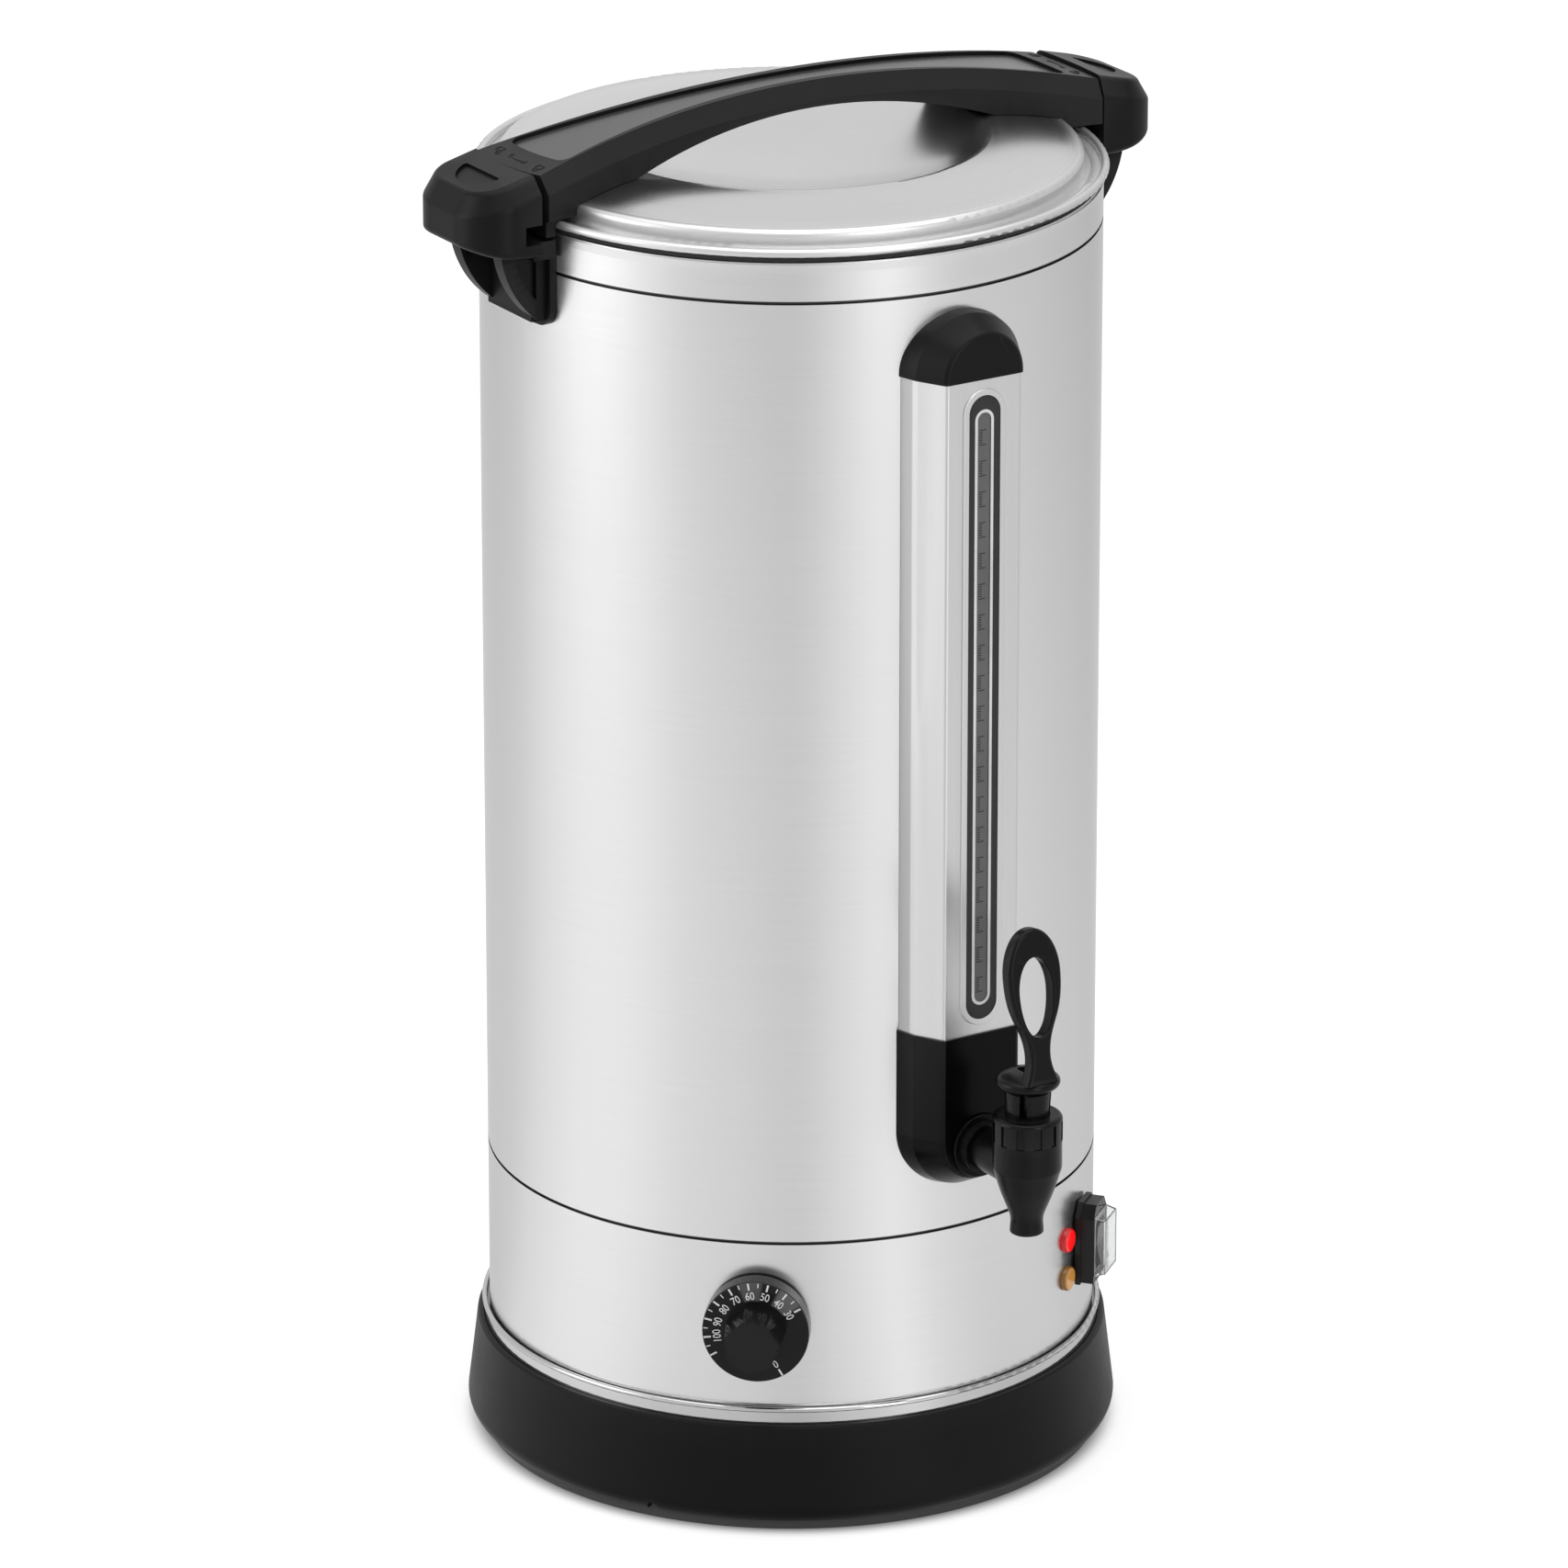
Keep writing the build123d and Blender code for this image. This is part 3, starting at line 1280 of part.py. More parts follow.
with BuildPart() as side_handle_right:
    with BuildSketch(Plane.XY.offset(plate_low)):
        Circle(plate_outer)
        Circle(plate_inner - 2, mode=Mode.SUBTRACT)
        with Locations((body_radius, 0)):
            Rectangle(30, 2 * handle_plate_half_width, mode=Mode.INTERSECT)
    extrude(amount=handle_plate_drop)
    plate_corners = side_handle_right.edges().group_by(Axis.Z)[0].filter_by(Axis.X)
    fillet(plate_corners, handle_plate_corner)
    add(handle_block.part)
    with BuildSketch(Plane.YZ.offset(plate_inner - 3)):
        with Locations((0, (flange_top + plate_low) / 2 + 1)):
            Rectangle(2 * handle_rib_offset, handle_plate_drop - 2)
    extrude(amount=web_front - plate_inner + 3)
    for side in (-1, 1):
        with BuildSketch(front(-side * handle_rib_offset)):
            with BuildLine():
                ThreePointArc(rib_root, rib_middle, (rib_reach, flange_top))
                Polyline(
                    (rib_reach, flange_top),
                    (plate_inner, flange_top),
                    (plate_inner, rib_root[1] - 1),
                    rib_root,
                )
            make_face()
        extrude(amount=handle_rib_thickness / 2, both=True)
        with BuildSketch(front(-side * rib_side)):
            with BuildLine():
                pocket_low = (rib_root[0] + 0.5, rib_root[1] + 2 * rib_pocket_margin)
                pocket_middle = (rib_middle[0] - rib_pocket_margin, rib_middle[1] + rib_pocket_margin)
                pocket_tip = (rib_reach - 1.6 * rib_pocket_margin, handle_floor - handle_belly - 1.5)
                ThreePointArc(pocket_low, pocket_middle, pocket_tip)
                Polyline(pocket_tip, (pocket_low[0], pocket_tip[1]), pocket_low)
            make_face()
        extrude(amount=rib_pocket_depth * side, mode=Mode.SUBTRACT)
    with BuildSketch(Plane.XY.offset(flange_top - ledge_drop)):
        with Locations((handle_inner_x - 1, handle_rib_offset + 4)):
            Rectangle(ledge_width, ledge_width)
    extrude(amount=ledge_drop)
    with BuildSketch(Plane.XY.offset(flange_top)):
        with Locations((handle_inner_radius + notch_depth - 10, handle_half_width)):
            Rectangle(20, notch_width)
    extrude(amount=notch_height, mode=Mode.SUBTRACT)
    with BuildSketch(
        Plane(
            origin=(handle_inner_radius, 0, handle_top),
            x_dir=(1, 0, -handle_slope),
            z_dir=(handle_slope, 0, 1),
        )
    ):
        with BuildLine():
            ThreePointArc(
                (thumb_start, -thumb_half_width),
                (thumb_reach, 0),
                (thumb_start, thumb_half_width),
            )
            Line((thumb_start, thumb_half_width), (thumb_start, -thumb_half_width))
        thumb = make_face()
        fillet(thumb.vertices(), thumb_corner)
    extrude(amount=-handle_recess_depth, mode=Mode.SUBTRACT)
    extrude(tube_ring(Plane.XY, plate_inner), amount=handle_top, mode=Mode.SUBTRACT)
    with BuildSketch(Plane.YZ.offset(plate_inner - 1)):
        for screw_height in handle_screw_heights:
            with Locations((0, screw_height)):
                Circle(handle_screw_radius + running)
    extrude(amount=handle_screw_depth + 1, mode=Mode.SUBTRACT)
pieces["side_handle_right"] = side_handle_right

with BuildPart() as side_handle_left:
    add(side_handle_right.part, rotation=(0, 0, 180))
pieces["side_handle_left"] = side_handle_left

screw_head_outer = joggle_radius - body_sheet - slip
handle_screw_head = 2.8
handle_screw_length = 6.8
with BuildPart() as handle_screws:
    for way in (-1, 1):
        for screw_height in handle_screw_heights:
            with BuildSketch(Plane.YZ.offset(way * screw_head_outer)):
                with Locations((0, screw_height)):
                    Circle(2 * handle_screw_radius)
            extrude(amount=-way * handle_screw_head)
            with BuildSketch(Plane.YZ.offset(way * screw_head_outer)):
                with Locations((0, screw_height)):
                    Circle(handle_screw_radius)
            extrude(amount=way * handle_screw_length)
pieces["handle_screws"] = handle_screws

# ---------------------------------------------------------------- lid
gasket_inner = tank_outer + 0.5
gasket_bevel = 0.8
with BuildPart() as lid_gasket:
    with BuildSketch(Plane.XZ):
        with BuildLine():
            Polyline(
                (gasket_inner, gasket_bottom),
                (gasket_inner + gasket_width, gasket_bottom),
                (gasket_inner + gasket_width, gasket_top - gasket_bevel),
                (gasket_inner + gasket_width - gasket_bevel, gasket_top),
                (gasket_inner + gasket_bevel, gasket_top),
                (gasket_inner, gasket_top - gasket_bevel),
                (gasket_inner, gasket_bottom),
            )
        make_face()
    revolve(axis=Axis.Z)
pieces["lid_gasket"] = lid_gasket

ridge_radius = body_radius - lid_ridge_set_back
ridge_half_width = 1.5
ridge_height = 0.6
dish_bottom = lid_crown - lid_dish_depth


def lid_line(over):
    """Half of the lid's top surface in section, from its bead to its axis, raised by this much."""
    wall = lid_wall_radius + over
    trough = lid_trough + over
    shoulder = lid_shoulder + over
    ridge_out = ridge_radius + ridge_half_width
    ridge_in = ridge_radius - ridge_half_width
    fold_out = (lid_dish_radius + 1.3, lid_crown - 0.15 + over)
    fold_in = (lid_dish_radius - 1.2, lid_crown - 0.3 + over)
    dome_middle = ((lid_wall_radius + lid_dish_radius) / 2, (lid_shoulder + lid_crown) / 2 + 0.8 + over)
    dish_drop = fold_in[1] - dish_bottom - over
    dish_arc = (fold_in[0] ** 2 + dish_drop**2) / (2 * dish_drop)
    middle_rise = dish_arc - sqrt(dish_arc**2 - fold_in[0] ** 2 / 4)
    dish_middle = (fold_in[0] / 2, dish_bottom + over + middle_rise)
    Line((lid_bead_ring, trough), (ridge_out, trough))
    ThreePointArc((ridge_out, trough), (ridge_radius, trough + ridge_height), (ridge_in, trough))
    Polyline((ridge_in, trough), (wall, trough), (wall, shoulder - 3.0))
    ThreePointArc((wall, shoulder - 3.0), (wall - 1.1, shoulder - 0.8), (wall - 3.6, shoulder))
    ThreePointArc((wall - 3.6, shoulder), dome_middle, fold_out)
    ThreePointArc(fold_out, (lid_dish_radius, lid_crown + over), fold_in)
    ThreePointArc(fold_in, dish_middle, (0, dish_bottom + over))


with BuildPart() as lid_envelope:
    with BuildSketch(Plane.XZ):
        with BuildLine():
            lid_line(2 * slip)
            Polyline(
                (0, dish_bottom + 2 * slip),
                (0, gasket_bottom - 20),
                (lid_bead_ring, gasket_bottom - 20),
                (lid_bead_ring, lid_trough + 2 * slip),
            )
        make_face()
    revolve(axis=Axis.Z)
    with BuildSketch(Plane.XZ):
        with Locations((lid_bead_ring, lid_bead_centre)):
            Circle(lid_bead_radius + 2 * slip)
    revolve(axis=Axis.Z)

bar_screw_x = 125.0
bar_screw_y = 12.0
bar_screw_seat = lid_shoulder - lid_sheet + 0.2
with BuildPart() as lid_shell:
    with BuildSketch(Plane.XZ):
        with Locations((lid_bead_ring, lid_bead_centre)):
            Circle(lid_bead_radius)
    revolve(axis=Axis.Z)
    with BuildSketch(Plane.XZ):
        with BuildLine():
            lid_line(0)
            Line((0, dish_bottom), (0, dish_bottom - lid_sheet))
            lid_line(-lid_sheet)
            Line((lid_bead_ring, lid_trough), (lid_bead_ring, lid_trough - lid_sheet))
        make_face()
    revolve(axis=Axis.Z)
    with BuildSketch(Plane.XY.offset(dish_bottom)):
        with GridLocations(2 * bar_screw_x, 2 * bar_screw_y, 2, 2):
            Circle(bar_screw_radius + slip)
    extrude(amount=30, mode=Mode.SUBTRACT)
pieces["lid_shell"] = lid_shell

ring_outer = lid_wall_radius - lid_sheet - slip
ring_bottom = rim_height - lid_ring_depth
with BuildPart() as lid_inner_ring:
    with BuildSketch(Plane.XY.offset(ring_bottom)):
        Circle(ring_outer)
        Circle(ring_outer - 2.0, mode=Mode.SUBTRACT)
    extrude(amount=lid_trough + 4 - ring_bottom)
    chamfer(lid_inner_ring.edges().group_by(Axis.Z)[0], 0.6)
pieces["lid_inner_ring"] = lid_inner_ring


def bar_plan(inset, end_gap, height, corner=0.0):
    """The bar's outline from above: narrow in the middle, its ends cut a little askew to the rim."""
    middle = bar_middle_half_width - inset
    end = bar_end_half_width - inset
    reach = bar_end_radius - end_gap
    near = sqrt((reach - bar_end_skew) ** 2 - end**2)
    far = sqrt((reach + bar_end_skew) ** 2 - end**2)
    with BuildSketch(Plane.XY.offset(height)) as plan:
        with BuildLine():
            ThreePointArc((-far, end), (0, middle), (near, end))
            ThreePointArc((near, end), (reach, 0), (far, -end))
            ThreePointArc((far, -end), (0, -middle), (-near, -end))
            ThreePointArc((-near, -end), (-reach, 0), (-far, end))
        make_face()
        if corner > 0:
            fillet(plan.vertices(), corner)
    return plan.sketch


def bar_layer(high, low):
    """A layer under the bar's arched top, between these two depths, in side view."""
    end = bar_top - bar_sag
    with BuildSketch(Plane.XZ) as layer:
        with BuildLine():
            ThreePointArc((-bar_reach, end - high), (0, bar_top - high), (bar_reach, end - high))
            Line((bar_reach, end - high), (bar_reach, end - low))
            ThreePointArc((bar_reach, end - low), (0, bar_top - low), (-bar_reach, end - low))
            Line((-bar_reach, end - low), (-bar_reach, end - high))
        make_face()
    return layer.sketch


bar_reach = bar_end_radius + bar_end_skew
inlay_inset = bar_chamfer_out + bar_inlay_margin
inlay_seat = bar_inlay_recess + bar_inlay_thickness
with BuildPart() as inlay_pocket:
    extrude(bar_layer(-1.0, inlay_seat + slip), amount=60, both=True)
    extrude(
        bar_plan(inlay_inset - slip, bar_inlay_end_gap - slip, dish_bottom, bar_inlay_corner + slip),
        amount=100,
        mode=Mode.INTERSECT,
    )

with BuildPart() as lid_bar_inlay:
    extrude(bar_layer(bar_inlay_recess, inlay_seat), amount=60, both=True)
    extrude(
        bar_plan(inlay_inset, bar_inlay_end_gap, dish_bottom, bar_inlay_corner),
        amount=100,
        mode=Mode.INTERSECT,
    )
pieces["lid_bar_inlay"] = lid_bar_inlay

bar_foot_bottom = lid_bead_centre + lid_bead_radius + bar_foot_gap
bar_arch_foot = bar_top - bar_arch_depth
tab_bottom = handle_floor + bar_tab_gap
with BuildPart() as lid_bar:
    with BuildSketch(Plane.XZ):
        with BuildLine():
            ThreePointArc(
                (-bar_reach, bar_top - bar_sag),
                (0, bar_top),
                (bar_reach, bar_top - bar_sag),
            )
            Polyline(
                (bar_reach, bar_top - bar_sag),
                (bar_reach, bar_foot_bottom),
                (bar_arch_start, bar_foot_bottom),
                (bar_arch_start, bar_arch_foot),
            )
            ThreePointArc(
                (bar_arch_start, bar_arch_foot),
                (0, bar_underside),
                (-bar_arch_start, bar_arch_foot),
            )
            Polyline(
                (-bar_arch_start, bar_arch_foot),
                (-bar_arch_start, bar_foot_bottom),
                (-bar_reach, bar_foot_bottom),
                (-bar_reach, bar_top - bar_sag),
            )
        make_face()
    extrude(amount=60, both=True)
    extrude(bar_plan(0, 0, dish_bottom), amount=100, mode=Mode.INTERSECT)
    bar_crown = lid_bar.faces().sort_by(Axis.Z)[-1]
    bar_sides = [edge for edge in bar_crown.edges() if edge.length > bar_end_radius]
    chamfer(bar_sides, length=bar_chamfer_out, length2=bar_chamfer_down, reference=bar_crown)
    for way in (-1, 1):
        with BuildSketch(Plane.XY.offset(tab_bottom)):
            Circle(bar_end_radius - bar_end_skew)
            Circle(body_radius + lid_bead_overhang + apart, mode=Mode.SUBTRACT)
            with Locations((way * bar_end_radius, way * (bar_end_half_width - bar_tab_width / 2 - 2))):
                Rectangle(30, bar_tab_width, mode=Mode.INTERSECT)
        extrude(amount=bar_foot_bottom + 1 - tab_bottom)
    add(lid_envelope.part, mode=Mode.SUBTRACT)
    add(inlay_pocket.part, mode=Mode.SUBTRACT)
    with BuildSketch(Plane.XY.offset(dish_bottom)):
        with GridLocations(2 * bar_screw_x, 2 * bar_screw_y, 2, 2):
            Circle(bar_screw_radius + running)
    extrude(amount=bar_screw_seat + 8.5 - dish_bottom, mode=Mode.SUBTRACT)
pieces["lid_bar"] = lid_bar

with BuildPart() as lid_bar_screws:
    with BuildSketch(Plane.XY.offset(bar_screw_seat)):
        with GridLocations(2 * bar_screw_x, 2 * bar_screw_y, 2, 2):
            Circle(2 * bar_screw_radius)
    extrude(amount=-2.2)
    with BuildSketch(Plane.XY.offset(bar_screw_seat)):
        with GridLocations(2 * bar_screw_x, 2 * bar_screw_y, 2, 2):
            Circle(bar_screw_radius)
    extrude(amount=8.0)
pieces["lid_bar_screws"] = lid_bar_screws

# ---------------------------------------------------------------- files
os.makedirs("parts", exist_ok=True)
for name, piece in pieces.items():
    piece.part.label = name
    export_step(piece.part, f"parts/{name}.step")
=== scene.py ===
from math import atan2, cos, pi, radians, sin, sqrt

import bpy
from mathutils import Matrix, Vector


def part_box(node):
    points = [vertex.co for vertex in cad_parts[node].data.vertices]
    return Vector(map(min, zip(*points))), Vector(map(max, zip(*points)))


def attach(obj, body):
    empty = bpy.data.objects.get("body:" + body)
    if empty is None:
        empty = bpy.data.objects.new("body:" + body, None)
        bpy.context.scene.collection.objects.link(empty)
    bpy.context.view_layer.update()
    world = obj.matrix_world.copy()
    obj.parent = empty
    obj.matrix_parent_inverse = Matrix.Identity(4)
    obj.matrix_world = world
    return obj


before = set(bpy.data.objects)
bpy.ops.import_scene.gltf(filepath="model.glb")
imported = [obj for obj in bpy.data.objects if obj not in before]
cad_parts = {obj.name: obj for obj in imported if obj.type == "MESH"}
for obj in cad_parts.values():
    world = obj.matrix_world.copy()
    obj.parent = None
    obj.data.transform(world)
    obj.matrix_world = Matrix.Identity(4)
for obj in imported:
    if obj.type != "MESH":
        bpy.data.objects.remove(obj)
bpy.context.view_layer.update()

# ---------------------------------------------------------------- where things are, in metres
# Azimuths start at the tap and grow to its right, seen from the front.
BODY_R = 0.150
KNOB_AZ = radians(-38.1)
KNOB_Z = 0.1064
LAMP_AZ = radians(32.2)
LAMP_Z = (0.1156, 0.0954)
SWITCH_AZ = radians(40.0)
SWITCH_Z = 0.110
GAUGE_Z = (0.2555 + 0.5839) / 2
BAND_SEAM_Z, COLLAR_SEAM_Z = 0.1484, 0.6224
FLANGE_Y, FLANGE_BEND = -0.1545, 0.0012
DIAL_FACE = 0.0111  # out of the body

# Pairs between which a look changes: the lid's hem, the recessed ring under the plinth by radius and by
# height, the dial's printed ring where the painted reflection fans begin, a lens's rim, and the floor's
# painted shadow under the urn
HEM_R = (0.130, 0.141)
STAND_R = (0.1536, 0.1540)
STAND_Z = (0.0100, 0.0110)
FACE_RING = (0.0160, 0.0166)
LENS_EDGE = (0.0048, 0.0060)
URN_SHADOW_R = (0.149, 0.166)


def panel(azimuth, stand_off, height):
    """Matrix of a plane on the round body: x along the tangent, y up, z outwards."""
    out = Vector((sin(azimuth), -cos(azimuth), 0))
    tangent = Vector((cos(azimuth), sin(azimuth), 0))
    up = Vector((0, 0, 1))
    matrix = Matrix((tangent, up, out)).transposed().to_4x4()
    matrix.translation = out * (BODY_R + stand_off) + up * height
    return matrix


# ---------------------------------------------------------------- camera
ELEVATION = radians(20.17)
AZIMUTH = radians(32.0)
DISTANCE = 5.2047
AIM_Z = 0.300
camera_data = bpy.data.cameras.new("camera")
camera_data.lens = 243.62
camera_data.sensor_width = 36
camera_data.shift_x = -0.0044
camera_data.shift_y = 0.0366
camera_data.clip_end = 60
camera = bpy.data.objects.new("camera", camera_data)
bpy.context.scene.collection.objects.link(camera)
camera.location = (
    -DISTANCE * cos(ELEVATION) * sin(AZIMUTH),
    -DISTANCE * cos(ELEVATION) * cos(AZIMUTH),
    AIM_Z + DISTANCE * sin(ELEVATION),
)
camera.rotation_euler = (pi / 2 - ELEVATION, 0, -AZIMUTH)
bpy.context.scene.camera = camera
bpy.context.scene.view_settings.view_transform = "Standard"


# ---------------------------------------------------------------- node helpers
class Nodes:
    """A small wrapper that adds and links the shader nodes of one tree."""

    def __init__(self, tree):
        self.tree = tree
        self.shader = tree.nodes.get("Principled BSDF")

    def add(self, kind, **settings):
        node = self.tree.nodes.new(kind)
        for key, value in settings.items():
            setattr(node, key, value)
        return node

    def link(self, source, target):
        self.tree.links.new(source, target)

    def set(self, **values):
        for key, value in values.items():
            self.shader.inputs[key.replace("_", " ")].default_value = value

    def math(self, operation, a, b=0.0, clamp=False):
        node = self.add("ShaderNodeMath", operation=operation, use_clamp=clamp)
        for socket, value in zip(node.inputs, (a, b)):
            if isinstance(value, (int, float)):
                socket.default_value = value
            else:
                self.link(value, socket)
        return node.outputs[0]

    def place(self):
        """Object coordinates: the same metres as the CAD."""
        return self.add("ShaderNodeTexCoord").outputs["Object"]

    def scaled(self, vector, scale):
        node = self.add("ShaderNodeMapping")
        node.inputs["Scale"].default_value = scale
        self.link(vector, node.inputs["Vector"])
        return node.outputs[0]

    def noise(self, vector, scale, detail=3.0, roughness=0.6):
        node = self.add("ShaderNodeTexNoise")
        node.inputs["Scale"].default_value = scale
        node.inputs["Detail"].default_value = detail
        node.inputs["Roughness"].default_value = roughness
        self.link(vector, node.inputs["Vector"])
        return node.outputs["Fac"]

    def ramp(self, value, stops):
        node = self.add("ShaderNodeValToRGB")
        elements = node.color_ramp.elements
        while len(elements) < len(stops):
            elements.new(0.5)
        for element, (position, shade) in zip(elements, stops):
            element.position = position
            element.color = (*shade, 1.0) if isinstance(shade, tuple) else (shade, shade, shade, 1.0)
        self.link(value, node.inputs[0])
        return node.outputs[0]

    def spread(self, value, low, high):
        """Maps 0.3..0.7, where noise mostly lies, to low..high."""
        node = self.add("ShaderNodeMapRange")
        node.inputs["From Min"].default_value = 0.3
        node.inputs["From Max"].default_value = 0.7
        node.inputs["To Min"].default_value = low
        node.inputs["To Max"].default_value = high
        self.link(value, node.inputs["Value"])
        return node.outputs[0]

    def between(self, value, start, end, low, high):
        """Goes smoothly from low at start to high at end."""
        node = self.add("ShaderNodeMapRange", interpolation_type="SMOOTHSTEP")
        for socket, setting in zip(list(node.inputs)[1:5], (start, end, low, high)):
            socket.default_value = setting
        self.link(value, node.inputs["Value"])
        return node.outputs[0]

    def axes(self, vector):
        split = self.add("ShaderNodeSeparateXYZ")
        self.link(vector, split.inputs[0])
        return split.outputs

    def mixed(self, blend_type, a, b):
        """Two colours, or a colour and a tone, mixed in full."""
        mix = self.add("ShaderNodeMix", data_type="RGBA", blend_type=blend_type)
        mix.inputs["Factor"].default_value = 1.0
        for socket, value in zip((mix.inputs[6], mix.inputs[7]), (a, b)):
            if isinstance(value, tuple):
                socket.default_value = (*value, 1.0)
            else:
                self.link(value, socket)
        return mix.outputs[2]

    def bump(self, *layers):
        """Stacks (height, strength, distance) layers into the shader's normal."""
        last = None
        for height, strength, distance in layers:
            node = self.add("ShaderNodeBump")
            node.inputs["Strength"].default_value = strength
            node.inputs["Distance"].default_value = distance
            self.link(height, node.inputs["Height"])
            if last is not None:
                self.link(last, node.inputs["Normal"])
            last = node.outputs[0]
        self.link(last, self.shader.inputs["Normal"])


def new_material(name):
    """A new material with one shader, the helper for its nodes, and its output."""
    material = bpy.data.materials.new(name)
    material.use_nodes = True
    material.node_tree.nodes.clear()
    n = Nodes(material.node_tree)
    out = n.add("ShaderNodeOutputMaterial")
    n.shader = n.add("ShaderNodeBsdfPrincipled")
    n.link(n.shader.outputs[0], out.inputs["Surface"])
    return material, n, out


def turned(n):
    """Cylindrical coordinates about the tank's axis: angle along the grain, then height, then radius."""
    x, y, z = n.axes(n.place())
    angle = n.math("ARCTAN2", y, x)
    radius = n.math("SQRT", n.math("ADD", n.math("MULTIPLY", x, x), n.math("MULTIPLY", y, y)))
    return angle, z, radius


def on_plane(n, plane):
    """Polar coordinates on a plane: angle, radius, and how far out of it."""
    local = n.add("ShaderNodeVectorMath", operation="SUBTRACT")
    n.link(n.place(), local.inputs[0])
    local.inputs[1].default_value = plane.to_translation()
    sides = []
    for column in range(3):
        side = n.add("ShaderNodeVectorMath", operation="DOT_PRODUCT")
        n.link(local.outputs[0], side.inputs[0])
        side.inputs[1].default_value = plane.col[column].to_3d()
        sides.append(side.outputs["Value"])
    across, up, out = sides
    radius = n.math("SQRT", n.math("ADD", n.math("MULTIPLY", across, across), n.math("MULTIPLY", up, up)))
    return n.math("ARCTAN2", up, across), radius, out


def joined(n, a, b, c):
    node = n.add("ShaderNodeCombineXYZ")
    for socket, value in zip(node.inputs, (a, b, c)):
        if isinstance(value, (int, float)):
            socket.default_value = value
        else:
            n.link(value, socket)
    return node.outputs[0]


WHITE = (1.0, 1.0, 1.0)

# Steel: streaks per metre across the grain, and per metre or radian along it, fine ones and broad ones
FINE_ACROSS, FINE_ALONG = 2600.0, 16.0
BROAD_ACROSS, BROAD_ALONG = 320.0, 5.0
FINE_RINGS, FINE_TURN = 3200.0, 5.0
BROAD_RINGS, BROAD_TURN = 420.0, 1.6
SMEARS = (7.0, 7.0, 4.0)
FINE_TONE, BROAD_TONE = 0.012, 0.007
BROAD_ROUGH, SMEAR_ROUGH = 0.008, 0.012
GRAIN_DEPTH = 0.00003

# Painted shade along a seam: how far the dark line reaches on each side, where the steel is plain again, and
# its tone
SEAM_DARK, SEAM_PALE, SEAM_SHADE_TONE = 0.0006, 0.0011, 0.06
# How dark the painted shade on the gauge column gets towards the body
FLANGE_SHADE_TONE = 0.70
HEM_ROUGH = 0.17


def steel(
    name, shade, roughness, grain, anisotropic, strength=0.02, tint=WHITE, seams=(), flange=None, hem=None
):
    """Brushed steel. The grain runs round the body, in rings on the lid, or upright."""
    material, n, _ = new_material(name)
    n.set(Metallic=1.0, Anisotropic=anisotropic)
    if grain == "upright":
        fine_at = n.scaled(n.place(), (FINE_ACROSS, FINE_ACROSS, FINE_ALONG))
        broad_at = n.scaled(n.place(), (BROAD_ACROSS, BROAD_ACROSS, BROAD_ALONG))
        tangent = n.add("ShaderNodeTangent", direction_type="RADIAL", axis="X")
    else:
        angle, height, radius = turned(n)
        across = height if grain == "round" else radius
        fine_at, broad_at = (
            joined(n, n.math("MULTIPLY", angle, along), n.math("MULTIPLY", across, rings), apart)
            for along, rings, apart in ((FINE_TURN, FINE_RINGS, 0.0), (BROAD_TURN, BROAD_RINGS, 4.0))
        )
        tangent = n.add("ShaderNodeTangent", direction_type="RADIAL", axis="Z")
    n.link(tangent.outputs[0], n.shader.inputs["Tangent"])
    fine = n.noise(fine_at, 1.0, 3.0, 0.6)
    broad = n.noise(broad_at, 1.0, 2.0, 0.5)
    smear = n.noise(n.scaled(n.place(), SMEARS), 1.0, 3.0, 0.5)
    tone = n.math("ADD", n.spread(fine, -FINE_TONE, FINE_TONE), n.spread(broad, -BROAD_TONE, BROAD_TONE))
    tone = n.math("ADD", tone, shade)
    # Painted shade: the steel's colour darkens in a thin line along each seam
    for seam in seams:
        away = n.math("ABSOLUTE", n.math("SUBTRACT", turned(n)[1], seam))
        tone = n.math("MULTIPLY", tone, n.between(away, SEAM_DARK, SEAM_PALE, SEAM_SHADE_TONE, 1.0))
    # Painted shade: the column's colour darkens behind its front, towards the body
    if flange:
        depth = n.axes(n.place())[1]
        tone = n.math("MULTIPLY", tone, n.between(depth, flange, flange + FLANGE_BEND, 1.0, FLANGE_SHADE_TONE))
    n.link(n.mixed("MULTIPLY", tint, tone), n.shader.inputs["Base Color"])
    rough = n.spread(broad, roughness - BROAD_ROUGH, roughness + BROAD_ROUGH)
    rough = n.math("ADD", rough, n.spread(smear, -SMEAR_ROUGH, SMEAR_ROUGH))
    if hem:
        rough = n.math("ADD", rough, n.between(turned(n)[2], *hem, 0.0, HEM_ROUGH))
    n.link(rough, n.shader.inputs["Roughness"])
    n.bump((fine, strength, GRAIN_DEPTH))
    return material


# Moulded parts: where an edge begins to look worn and where it is fully worn, tone changes and texture depth
WORN_FROM, WORN_TO = 0.52, 0.60
CLOUD_SIZE, CLOUD_TONE, SPARK_TONE = 26.0, 0.10, 0.06
MOULDED_ROUGH, SPARK_DEPTH = 0.03, 0.00012


